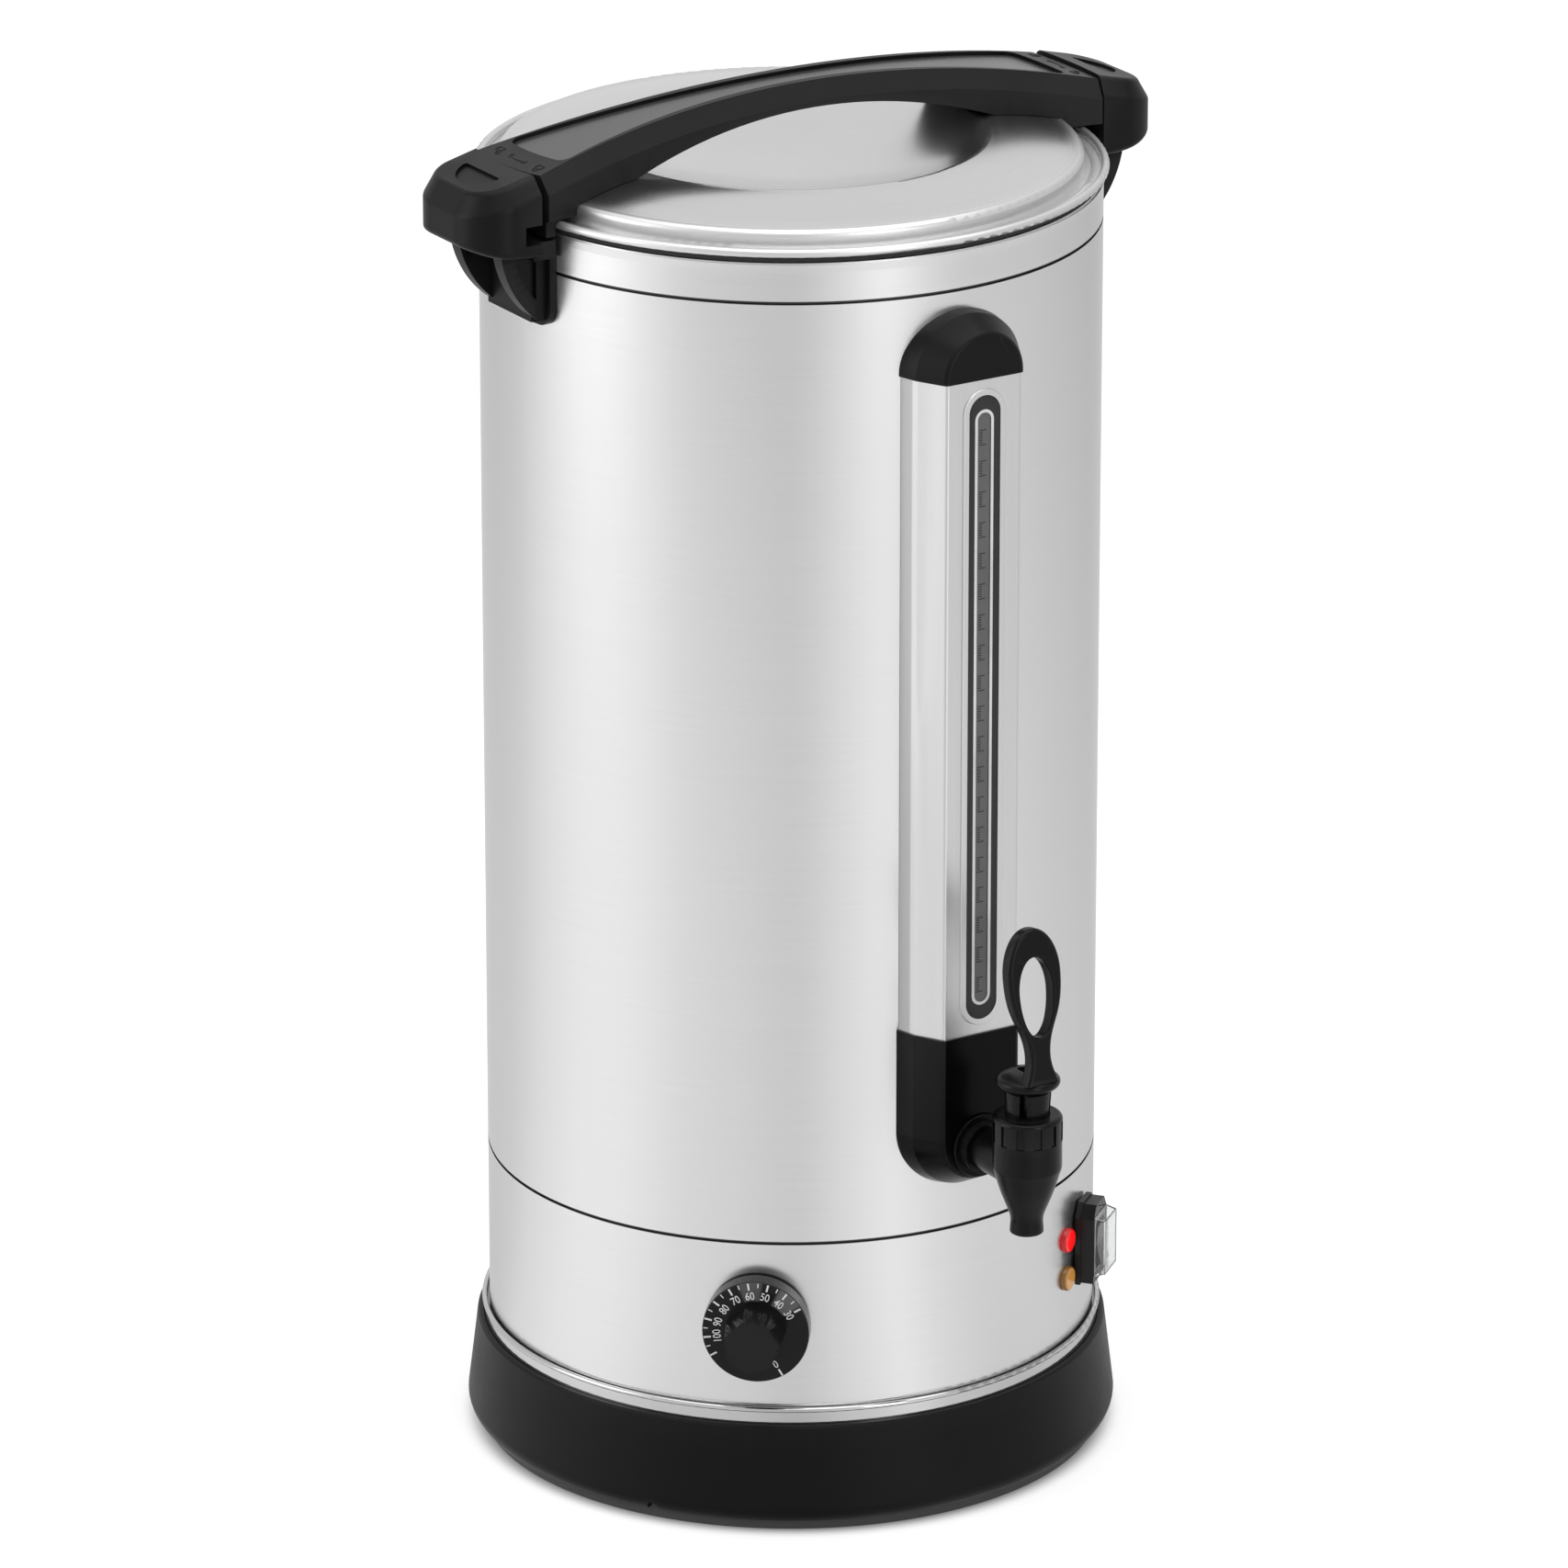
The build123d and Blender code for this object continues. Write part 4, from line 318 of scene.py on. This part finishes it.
def moulded(name, colour, roughness, texture, coarse=2600.0, wear=0.01, specular=0.5):
    """Moulded plastic or rubber: fine spark texture, soft tone changes and paler worn edges."""
    material, n, _ = new_material(name)
    n.set(Specular_IOR_Level=specular)
    fine = n.noise(n.place(), coarse, 2.0, 0.6)
    cloud = n.noise(n.place(), CLOUD_SIZE, 4.0, 0.6)
    edge = n.add("ShaderNodeNewGeometry").outputs["Pointiness"]
    worn = n.add("ShaderNodeMapRange")
    worn.inputs["From Min"].default_value = WORN_FROM
    worn.inputs["From Max"].default_value = WORN_TO
    worn.inputs["To Max"].default_value = wear
    n.link(edge, worn.inputs["Value"])
    tone = n.math("ADD", n.spread(cloud, -CLOUD_TONE, CLOUD_TONE), n.spread(fine, -SPARK_TONE, SPARK_TONE))
    toned = n.mixed("MULTIPLY", colour, n.math("ADD", tone, 1.0))
    n.link(n.mixed("ADD", toned, worn.outputs[0]), n.shader.inputs["Base Color"])
    rough = n.spread(cloud, roughness - MOULDED_ROUGH, roughness + MOULDED_ROUGH)
    n.link(rough, n.shader.inputs["Roughness"])
    n.bump((fine, texture, SPARK_DEPTH))
    return material


def add_tone(n, tone):
    """Adds a grey tone to a material's base colour."""
    socket = n.shader.inputs["Base Color"]
    n.link(n.mixed("ADD", socket.links[0].from_socket, tone), socket)


STAND_TONE = 0.09
FAN_EDGE = 3  # degrees over which a fan fades


def add_stand(material):
    """The greyer tone of the recessed ring that the plinth stands on."""
    n = Nodes(material.node_tree)
    _, height, radius = turned(n)
    low_down = n.between(height, *STAND_Z, STAND_TONE, 0.0)
    add_tone(n, n.math("MULTIPLY", low_down, n.between(radius, *STAND_R, 1.0, 0.0)))


def add_fans(material, plane, fans):
    """Painted reflections: soft fans of light painted into the colour of a spun face, given as (middle, half
    width, shade) in degrees round its plane.
    """
    n = Nodes(material.node_tree)
    angle, radius, out = on_plane(n, plane)
    light = 0.0
    for middle, half, shade in fans:
        away = n.math("ABSOLUTE", n.math("SUBTRACT", angle, radians(middle)))
        fan = n.between(away, radians(half - FAN_EDGE), radians(half + FAN_EDGE), shade, 0.0)
        light = n.math("MAXIMUM", fan, light)
    light = n.math("MULTIPLY", light, n.between(radius, *FACE_RING, 0.0, 1.0))
    on_face = n.between(out, DIAL_FACE - 0.0003, DIAL_FACE - 0.0001, 0.0, 1.0)
    add_tone(n, n.math("MULTIPLY", light, on_face))


def clear(name, tint, roughness=0.04):
    """Clear moulded plastic with faint haze and hairline scratches."""
    material, n, _ = new_material(name)
    n.set(Base_Color=(*tint, 1.0), IOR=1.46, Transmission_Weight=1.0)
    haze = n.noise(n.place(), 90.0, 4.0, 0.65)
    scratch = n.noise(n.scaled(n.place(), (900.0, 900.0, 40.0)), 1.0, 2.0, 0.7)
    n.link(n.spread(haze, roughness, roughness + 0.06), n.shader.inputs["Roughness"])
    n.bump((scratch, 0.05, 0.00005))
    return material


# How much of its colour and glow a lens keeps at its rim
RIM_COLOUR, RIM_GLOW = 0.25, 0.30


def lens(name, place, colour, glow, strength):
    """A pilot lamp's lens: moulded ribs seen through a glossy dome, darker at its edge."""
    material, n, _ = new_material(name)
    n.set(IOR=1.5, Coat_Weight=0.3, Coat_Roughness=0.05, Emission_Strength=strength, Transmission_Weight=0.25)
    ribs = n.noise(n.place(), 900.0, 2.0, 0.5)
    cloud = n.noise(n.place(), 160.0, 3.0, 0.6)
    rim = n.between(on_plane(n, place)[1], *LENS_EDGE, 1.0, 0.0)
    level = n.math("MULTIPLY", rim, n.spread(cloud, 0.85, 1.0))
    shaded = n.ramp(level, ((0.0, tuple(RIM_COLOUR * c for c in colour)), (1.0, colour)))
    glowing = n.ramp(level, ((0.0, tuple(RIM_GLOW * c for c in glow)), (1.0, glow)))
    n.link(shaded, n.shader.inputs["Base Color"])
    n.link(glowing, n.shader.inputs["Emission Color"])
    n.link(n.spread(cloud, 0.12, 0.22), n.shader.inputs["Roughness"])
    n.bump((ribs, 0.2, 0.0002))
    return material


BLACK = (0.0050, 0.0050, 0.0053)
SHINY_BLACK = (0.008, 0.008, 0.0084)
body_steel = steel("body_steel", 0.76, 0.25, "round", 0.6, seams=(BAND_SEAM_Z, COLLAR_SEAM_Z))
lid_steel = steel("lid_steel", 0.74, 0.19, "rings", 0.35, hem=HEM_R)
column_steel = steel("column_steel", 0.69, 0.36, "upright", 0.3, flange=FLANGE_Y)
tray_steel = steel("tray_steel", 0.60, 0.12, "round", 0.3)
small_steel = steel("small_steel", 0.66, 0.28, "upright", 0.2, 0.05)
heat_steel = steel("heat_steel", 0.24, 0.42, "rings", 0.2, 0.1, (1.0, 0.93, 0.86))
plate_metal = steel("plate_metal", 0.72, 0.45, "rings", 0.3, 0.2, (1.0, 1.0, 1.01))
copper = steel("copper", 0.75, 0.32, "upright", 0.1, 0.05, (1.0, 0.56, 0.36))
black_plastic = moulded("black_plastic", BLACK, 0.36, 0.12, specular=0.15)
black_base = moulded("black_base", BLACK, 0.40, 0.2, specular=0.12)
black_cover = moulded("black_cover", (0.0022, 0.0022, 0.0024), 0.22, 0.04, specular=0.10)
black_tap = moulded("black_tap", (0.0036, 0.0036, 0.0038), 0.26, 0.08, specular=0.17)
black_panel = moulded("black_panel", (0.030, 0.030, 0.031), 0.28, 0.03, specular=1.0)
black_gloss = moulded("black_gloss", SHINY_BLACK, 0.18, 0.03, 900.0, specular=0.2)
black_spun = moulded("black_spun", SHINY_BLACK, 0.18, 0.03, 900.0, specular=0.2)
black_bezel = moulded("black_bezel", (0.022, 0.022, 0.023), 0.42, 0.1, specular=0.3)
rubber = moulded("rubber", (0.018, 0.018, 0.018), 0.75, 0.4, 1400.0, 0.02)
silicone = moulded("silicone", (0.62, 0.61, 0.58), 0.5, 0.1, 1200.0, 0.0)
white_plastic = moulded("white_plastic", (0.72, 0.71, 0.67), 0.4, 0.1, 1500.0, 0.02)
# White for the dial's print, and for the painted highlight round the gauge window
white_print_and_highlight = moulded("white_print_and_highlight", (0.80, 0.80, 0.79), 0.5, 0.1, 3000.0, 0.0)
print_grey = moulded("print_grey", (0.125, 0.125, 0.125), 0.45, 0.1, 3000.0, 0.0)
print_black = moulded("print_black", (0.02, 0.02, 0.02), 0.5, 0.1, 3000.0, 0.0)
add_stand(black_base)
# The dial's two pale fans are painted reflections
add_fans(black_spun, panel(KNOB_AZ, 0, KNOB_Z), ((96.0, 13.0, 0.085), (48.0, 14.0, 0.12)))
clear_cover = clear("clear_cover", (0.90, 0.91, 0.91))
clear_tube = clear("clear_tube", (0.80, 0.82, 0.82), 0.08)
# Painted highlight along the switch cover's edges
cover_edge_highlight = moulded("cover_edge_highlight", (0.70, 0.71, 0.71), 0.25, 0.05, 1500.0, 0.0)
red_lens = lens("red_lens", panel(LAMP_AZ, 0, LAMP_Z[0]), (0.75, 0.006, 0.006), (1.0, 0.006, 0.008), 0.6)
# The amber lamp is off: its faint glow is painted light
amber_lens = lens("amber_lens", panel(LAMP_AZ, 0, LAMP_Z[1]), (0.85, 0.42, 0.09), (0.9, 0.42, 0.08), 0.12)

LOOKS = {
    body_steel: ("control_band", "outer_jacket", "rim_collar"),
    lid_steel: ("lid_shell", "inner_tank"),
    column_steel: ("gauge_column",),
    tray_steel: ("base_tray",),
    small_steel: (
        "base_screws", "base_nuts", "thermostat_screws", "thermostat_shaft", "gauge_tee", "tap_stem",
        "tap_pin", "tap_spring", "tap_nut", "handle_screws", "lid_bar_screws",
    ),
    heat_steel: ("heating_element",),
    plate_metal: ("heater_plate",),
    copper: ("thermostat_capillary",),
    black_base: ("base_skirt", "lid_inner_ring", "cable_gland", "gland_nut"),
    black_plastic: ("column_cap", "side_handle_left", "side_handle_right", "lid_bar"),
    black_cover: ("column_foot_cover",),
    black_panel: ("lid_bar_inlay",),
    black_tap: ("tap_body", "tap_bonnet", "tap_guide", "tap_lever"),
    black_gloss: ("switch_housing", "switch_rocker"),
    black_spun: ("thermostat_knob",),
    black_bezel: ("gauge_bezel",),
    rubber: ("base_feet", "lid_gasket"),
    silicone: ("tap_seat_cup", "tap_washers", "sight_tube_seal"),
    white_plastic: ("thermal_cutouts", "terminal_block", "thermostat_body", "lamp_holders"),
    clear_cover: ("switch_cover", "gauge_window"),
    clear_tube: ("sight_tube",),
    red_lens: ("heating_lamp_lens",),
    amber_lens: ("keep_warm_lamp_lens",),
}
dressed = set()
for material, names in LOOKS.items():
    for name in names:
        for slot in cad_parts[name].material_slots:
            slot.material = material
        dressed.add(name)
assert dressed == set(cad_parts), set(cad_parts) ^ dressed

# ---------------------------------------------------------------- stage and light
def around(angle, reach, height):
    """A place this many degrees to the right of the camera, seen from the urn."""
    turn = AZIMUTH - radians(angle)
    return (-reach * sin(turn), -reach * cos(turn), height)


def bearing_bands(n, vector, levels):
    """Brightness by bearing about the urn: pale panels and darker gaps between them."""
    x, y, _ = n.axes(vector)
    part = n.math("ADD", n.math("MULTIPLY", n.math("ARCTAN2", y, x), 1 / (2 * pi)), 0.5)
    stops = []
    for angle, level in levels:
        place = around(angle, 1.0, 0.0)
        stops.append(((atan2(place[1], place[0]) / (2 * pi) + 0.5) % 1.0, level))
    bands = n.ramp(part, sorted(stops))
    bands.node.color_ramp.interpolation = "EASE"
    return bands


def seen_directly(n, path):
    """1 where the camera sees it, straight or through clear plastic."""
    return n.math("MAXIMUM", path.outputs["Is Camera Ray"], path.outputs["Is Transmission Ray"])


# How bright the camera sees the floor, and what metal sees of the floor and of the room, by bearing
FLOOR_SEEN = 0.64
FLOOR_BANDS = (
    (-170, 0.34), (-151, 0.23), (-130, 0.20), (-113, 0.24), (-98, 0.39), (-76, 0.50), (-55, 0.47),
    (-34, 0.33), (-16, 0.28), (2, 0.17), (19, 0.37), (34, 0.54), (47, 0.36), (64, 0.28), (85, 0.31),
    (119, 0.24), (140, 0.17), (165, 0.30),
)
WORLD_BANDS = (
    (-170, 0.90), (-130, 0.82), (-98, 0.90), (-76, 1.0), (-45, 0.90), (-16, 0.80), (2, 0.72), (19, 0.88),
    (34, 1.0), (60, 0.84), (100, 0.80), (140, 0.80), (165, 0.90),
)

SOFT_STRENGTH = 0.60
STUDIO_STRENGTH = 0.88
FLOOR_REACH = 20

floor_mesh = bpy.data.meshes.new("floor")
floor_corners = [(FLOOR_REACH * i, FLOOR_REACH * j, 0) for i, j in ((-1, -1), (1, -1), (1, 1), (-1, 1))]
floor_mesh.from_pydata(floor_corners, [], [(0, 1, 2, 3)])
floor = bpy.data.objects.new("floor", floor_mesh)
bpy.context.scene.collection.objects.link(floor)
floor_material, fn, floor_out = new_material("floor_material")
fn.set(Base_Color=(0.52, 0.52, 0.52, 1.0), Specular_IOR_Level=0.05)
grain = fn.noise(fn.place(), 40.0, 3.0, 0.6)
fn.link(fn.spread(grain, 0.62, 0.70), fn.shader.inputs["Roughness"])
floor_path = fn.add("ShaderNodeLightPath")
# Painted shadow: the floor's white glow for the camera fades out under the urn, so the floor is darker there
outside_urn_shadow = fn.between(turned(fn)[2], *URN_SHADOW_R, 0.0, 1.0)
floor_direct = fn.math("MULTIPLY", seen_directly(fn, floor_path), outside_urn_shadow)
floor_bands = bearing_bands(fn, fn.place(), FLOOR_BANDS)
floor_glossy = fn.math("MULTIPLY", floor_path.outputs["Is Glossy Ray"], floor_bands)
floor_white = fn.add("ShaderNodeEmission")
floor_glow = fn.math("MAXIMUM", fn.math("MULTIPLY", floor_direct, FLOOR_SEEN), floor_glossy)
fn.link(floor_glow, floor_white.inputs["Strength"])
floor_sum = fn.add("ShaderNodeAddShader")
fn.link(fn.shader.outputs[0], floor_sum.inputs[0])
fn.link(floor_white.outputs[0], floor_sum.inputs[1])
fn.link(floor_sum.outputs[0], floor_out.inputs["Surface"])
floor_mesh.materials.append(floor_material)


def lamp(name, place, target, width, height, power):
    data = bpy.data.lights.new(name, "AREA")
    data.shape = "RECTANGLE"
    data.size = width
    data.size_y = height
    data.energy = power
    light = bpy.data.objects.new(name, data)
    bpy.context.scene.collection.objects.link(light)
    light.location = place
    direction = Vector(target) - Vector(place)
    light.rotation_euler = direction.to_track_quat("-Z", "Y").to_euler()


middle = (0, 0, 0.35)
lamp("top_light", (0, -0.4, 2.6), middle, 2.6, 2.6, 30)
lamp("left_light", around(-76, 2.6, 0.9), middle, 1.5, 2.6, 22)
lamp("right_light", around(34, 3.0, 0.9), middle, 0.7, 2.6, 14)

world = bpy.data.worlds.new("studio")
bpy.context.scene.world = world
world.use_nodes = True
world.node_tree.nodes.clear()
wn = Nodes(world.node_tree)
room = wn.add("ShaderNodeTexCoord").outputs["Generated"]
world_bands = bearing_bands(wn, room, WORLD_BANDS)
path = wn.add("ShaderNodeLightPath")


def background(colour, strength):
    node = wn.add("ShaderNodeBackground")
    if isinstance(colour, tuple):
        node.inputs["Color"].default_value = (*colour, 1.0)
    else:
        wn.link(colour, node.inputs["Color"])
    node.inputs["Strength"].default_value = strength
    return node.outputs[0]


def chosen(factor, no, yes):
    node = wn.add("ShaderNodeMixShader")
    for socket, value in zip(node.inputs, (factor, no, yes)):
        wn.link(value, socket)
    return node.outputs[0]


soft_light = background(WHITE, SOFT_STRENGTH)
studio_light = background(world_bands, STUDIO_STRENGTH)
reflected = chosen(path.outputs["Is Glossy Ray"], soft_light, studio_light)
output = wn.add("ShaderNodeOutputWorld")
wn.link(chosen(seen_directly(wn, path), reflected, background(WHITE, 1.0)), output.inputs["Surface"])


# ---------------------------------------------------------------- small pieces built as meshes
def placed(name, data, material, body, matrix=None):
    """Adds an object that shows a mesh or curve, rides on a body and takes the given material."""
    data.materials.append(material)
    thing = bpy.data.objects.new(name, data)
    bpy.context.scene.collection.objects.link(thing)
    if matrix:
        thing.matrix_world = matrix
    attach(thing, body)


def piece(name, verts, faces, material, body, slot):
    mesh = bpy.data.meshes.new(name)
    mesh.from_pydata([tuple(v) for v in verts], [], faces)
    mesh.validate()
    placed(name, mesh, material, body)


def slab(matrix, outline, low, high):
    """A flat prism over an outline, between two heights of the plane."""
    count = len(outline)
    verts = [matrix @ Vector((x, y, low)) for x, y in outline]
    verts += [matrix @ Vector((x, y, high)) for x, y in outline]
    faces = [tuple(range(count))[::-1], tuple(range(count, 2 * count))]
    faces += [(i, (i + 1) % count, (i + 1) % count + count, i + count) for i in range(count)]
    return verts, faces


def gather(parts):
    """Joins several (verts, faces) lists into one mesh's lists."""
    verts, faces = [], []
    for more_verts, more_faces in parts:
        start = len(verts)
        verts += list(more_verts)
        faces += [tuple(i + start for i in face) for face in more_faces]
    return verts, faces


def oblong(length, width, steps=16):
    """Outline of an upright slot shape, anticlockwise."""
    radius = width / 2
    top = length / 2 - radius
    points = [(radius * cos(pi * i / steps), top + radius * sin(pi * i / steps)) for i in range(steps + 1)]
    points += [(-radius * cos(pi * i / steps), -top - radius * sin(pi * i / steps)) for i in range(steps + 1)]
    return points


def band(matrix, outer, inner, low, high):
    """A flat closed band between two outlines with the same number of points."""
    count = len(outer)
    verts = []
    for level in (low, high):
        for outline in (outer, inner):
            verts += [matrix @ Vector((x, y, level)) for x, y in outline]
    faces = []
    for i in range(count):
        j = (i + 1) % count
        faces.append((i, i + count, j + count, j))
        faces.append((i + 2 * count, j + 2 * count, j + 3 * count, i + 3 * count))
        faces.append((i, j, j + 2 * count, i + 2 * count))
        faces.append((i + count, i + 3 * count, j + 3 * count, j + count))
    return verts, faces


def bar(x0, y0, x1, y1, width):
    """Outline of a straight stroke between two points."""
    dx, dy = x1 - x0, y1 - y0
    size = sqrt(dx * dx + dy * dy)
    ox, oy = -dy / size * width / 2, dx / size * width / 2
    return [(x0 - ox, y0 - oy), (x1 - ox, y1 - oy), (x1 + ox, y1 + oy), (x0 + ox, y0 + oy)]


def lines(name, paths, thickness, material, body, closed=False):
    """Thin round strokes through lists of points."""
    curve = bpy.data.curves.new(name, "CURVE")
    curve.dimensions = "3D"
    curve.bevel_depth = thickness / 2
    curve.bevel_resolution = 2
    for points in paths:
        spline = curve.splines.new("POLY")
        spline.points.add(len(points) - 1)
        for place, point in zip(spline.points, points):
            place.co = (*point, 1.0)
        spline.use_cyclic_u = closed
    placed(name, curve, material, body)


# Painted highlight of the raised rim round the level gauge's window, and the gauge's printed scale. Sizes are
# length and width, and these marks stand one layer proud.
OUTLINE_OUTSIDE, OUTLINE_INSIDE, OUTLINE_LIFT = (0.2990, 0.0104), (0.2960, 0.0074), 0.00006
STRIP_SIZE, STRIP_LIFT, TICK_LIFT = (0.2962, 0.0076), 0.00004, 0.00009
TICK_GROUPS, GROUP_STEP, GROUP_TOP = 19, 0.01527, 0.5590
TICKS, TICK_STEP, TICK_WIDTH = 7, 0.0012, 0.00055
TICK_LEFT, LONG_TICK, SHORT_TICK = -0.0026, 0.0012, -0.0008
front = Matrix(((1, 0, 0), (0, 0, -1), (0, 1, 0))).to_4x4()
front.translation = (0, 0, GAUGE_Z)
bezel_face = -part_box("gauge_bezel")[0][1]
window_face = -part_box("gauge_window")[0][1]
around_strip = oblong(*OUTLINE_OUTSIDE), oblong(*OUTLINE_INSIDE)
# Painted highlight: a pale band round the window stands in for the lit edge of its raised rim
outline = band(front, *around_strip, bezel_face, bezel_face + OUTLINE_LIFT)
piece("gauge_outline", *outline, white_print_and_highlight, "urn", "gauge_grey")
strip_face = window_face + STRIP_LIFT
strip = slab(front, oblong(*STRIP_SIZE), window_face, strip_face)
piece("gauge_strip", *strip, print_grey, "urn", "gauge_grey")
ticks = []
for group in range(TICK_GROUPS):
    top = GROUP_TOP - GAUGE_Z - group * GROUP_STEP
    for i in range(TICKS):
        level = top - i * TICK_STEP
        reach = LONG_TICK if i in (0, TICKS - 1) else SHORT_TICK
        stroke = bar(TICK_LEFT, level, reach, level, TICK_WIDTH)
        ticks.append(slab(front, stroke, strip_face, window_face + TICK_LIFT))
piece("gauge_scale", *gather(ticks), print_black, "urn", "gauge_grey")

# Scale printed on the dial. Angles run anticlockwise from the dial's right.
DIAL_START = 31.0
DIAL_STEP = 22.45
DIAL_ZERO = -59.0
MAJOR_TICK, MINOR_TICK = (0.0219, 0.0255, 0.0009), (0.0232, 0.0254, 0.0005)
DIAL_LIFT = 0.00008
NUMBER_R, NUMBER_SIZE, NUMBER_WIDTH = 0.0187, 0.0056, 0.82
NUMBER_LIFT, NUMBER_DEPTH, NUMBER_WEIGHT = 0.00005, 0.00004, 0.00003
dial = panel(KNOB_AZ, 0, KNOB_Z)
numbers = [(30 + 10 * i, DIAL_START + DIAL_STEP * i) for i in range(8)] + [(0, DIAL_ZERO)]
majors = [DIAL_START + DIAL_STEP * i for i in range(9)] + [DIAL_ZERO]
minors = [DIAL_START + DIAL_STEP * (i + 0.5) for i in range(8)]


def dial_point(angle, radius):
    return radius * cos(radians(angle)), radius * sin(radians(angle))


def dial_stroke(angle, inner, outer, width):
    stroke = bar(*dial_point(angle, inner), *dial_point(angle, outer), width)
    return slab(dial, stroke, DIAL_FACE, DIAL_FACE + DIAL_LIFT)


marks = [dial_stroke(angle, *MAJOR_TICK) for angle in majors]
marks += [dial_stroke(angle, *MINOR_TICK) for angle in minors]
piece("dial_ticks", *gather(marks), white_print_and_highlight, "dial", "gloss_black")
for number, angle in numbers:
    text = bpy.data.curves.new(f"dial_number_{number}", "FONT")
    text.body = str(number)
    text.size = NUMBER_SIZE
    text.align_x = "CENTER"
    text.align_y = "CENTER"
    text.extrude = NUMBER_DEPTH
    text.offset = NUMBER_WEIGHT
    place = Matrix.Translation((*dial_point(angle, NUMBER_R), DIAL_FACE + NUMBER_LIFT))
    place = place @ Matrix.Rotation(radians(angle - 90), 4, "Z")
    place = dial @ place @ Matrix.Diagonal((NUMBER_WIDTH, 1.0, 1.0, 1.0))
    placed(f"dial_number_{number}", text, white_print_and_highlight, "dial", place)

# Lock symbols raised on both ends of the lid bar
BAR_TOP = 0.6902
BAR_SAG = 0.020
BAR_REACH = 0.1607
BAR_ARC = (BAR_REACH**2 + BAR_SAG**2) / (2 * BAR_SAG)


def on_bar(x, y):
    """A point on the bar's arched top."""
    return (x, y, BAR_TOP - BAR_ARC + sqrt(BAR_ARC**2 - x * x))


def symbol(side, points, x, y):
    """A flat drawing laid on the bar's end: its own x runs outwards, its own y along the rim."""
    return [on_bar(side * (x + u), side * (y + v)) for u, v in points]


def arch(radius, cx, cy, first, last, steps=10):
    angles = [radians(first + (last - first) * i / steps) for i in range(steps + 1)]
    return [(cx + radius * cos(a), cy + radius * sin(a)) for a in angles]


LOCK = [(-0.0018, -0.0022), (0.0010, -0.0022), (0.0010, 0.0022), (-0.0018, 0.0022), (-0.0018, -0.0022)]
SHUT = [(0.0010, -0.0014)] + arch(0.0014, 0.0022, 0.0, -90, 90) + [(0.0010, 0.0014)]
OPEN = [(0.0010, 0.0008)] + arch(0.0014, 0.0024, 0.0022, -90, 90) + [(0.0020, 0.0036)]
SWEEP = [(0.0008 - (v / 0.0075) ** 2 * 0.0012, v) for v in [0.0015 * i for i in range(-5, 6)]]
LEFT_HEAD = [(0.0012, 0.0058), (-0.0004, 0.0076), (-0.0018, 0.0058)]
RIGHT_HEAD = [(u, -v) for u, v in LEFT_HEAD]
SHUT_AT, OPEN_AT, SWEEP_AT = (0.1512, 0.0185), (0.1512, -0.0175), (0.1520, 0.0)
SYMBOL_LINE = 0.00055
DRAWN = (
    (LOCK, SHUT_AT), (SHUT, SHUT_AT), (LOCK, OPEN_AT), (OPEN, OPEN_AT),
    (SWEEP, SWEEP_AT), (LEFT_HEAD, SWEEP_AT), (RIGHT_HEAD, SWEEP_AT),
)
strokes = [symbol(side, points, *place) for side in (-1, 1) for points, place in DRAWN]
lines("lock_symbols", strokes, SYMBOL_LINE, black_plastic, "lid")

# Painted highlights: pale lines along the edges of the clear switch cover
COVER_DROP = 0.001
BASE_RIM, FRONT_RIM = (0.0098, 0.0153, 0.0103), (0.0093, 0.0138, 0.0154)
COVER_LINE = 0.0004
cover = panel(SWITCH_AZ, 0, SWITCH_Z - COVER_DROP)


def cover_rim(half_width, half_height, out):
    corners = ((-1, -1), (1, -1), (1, 1), (-1, 1))
    return [tuple(cover @ Vector((half_width * i, half_height * j, out))) for i, j in corners]


rims = [cover_rim(*BASE_RIM), cover_rim(*FRONT_RIM)]
lines("cover_rims", rims, COVER_LINE, cover_edge_highlight, "urn", True)
lines("cover_edges", list(zip(*rims)), COVER_LINE, cover_edge_highlight, "urn")
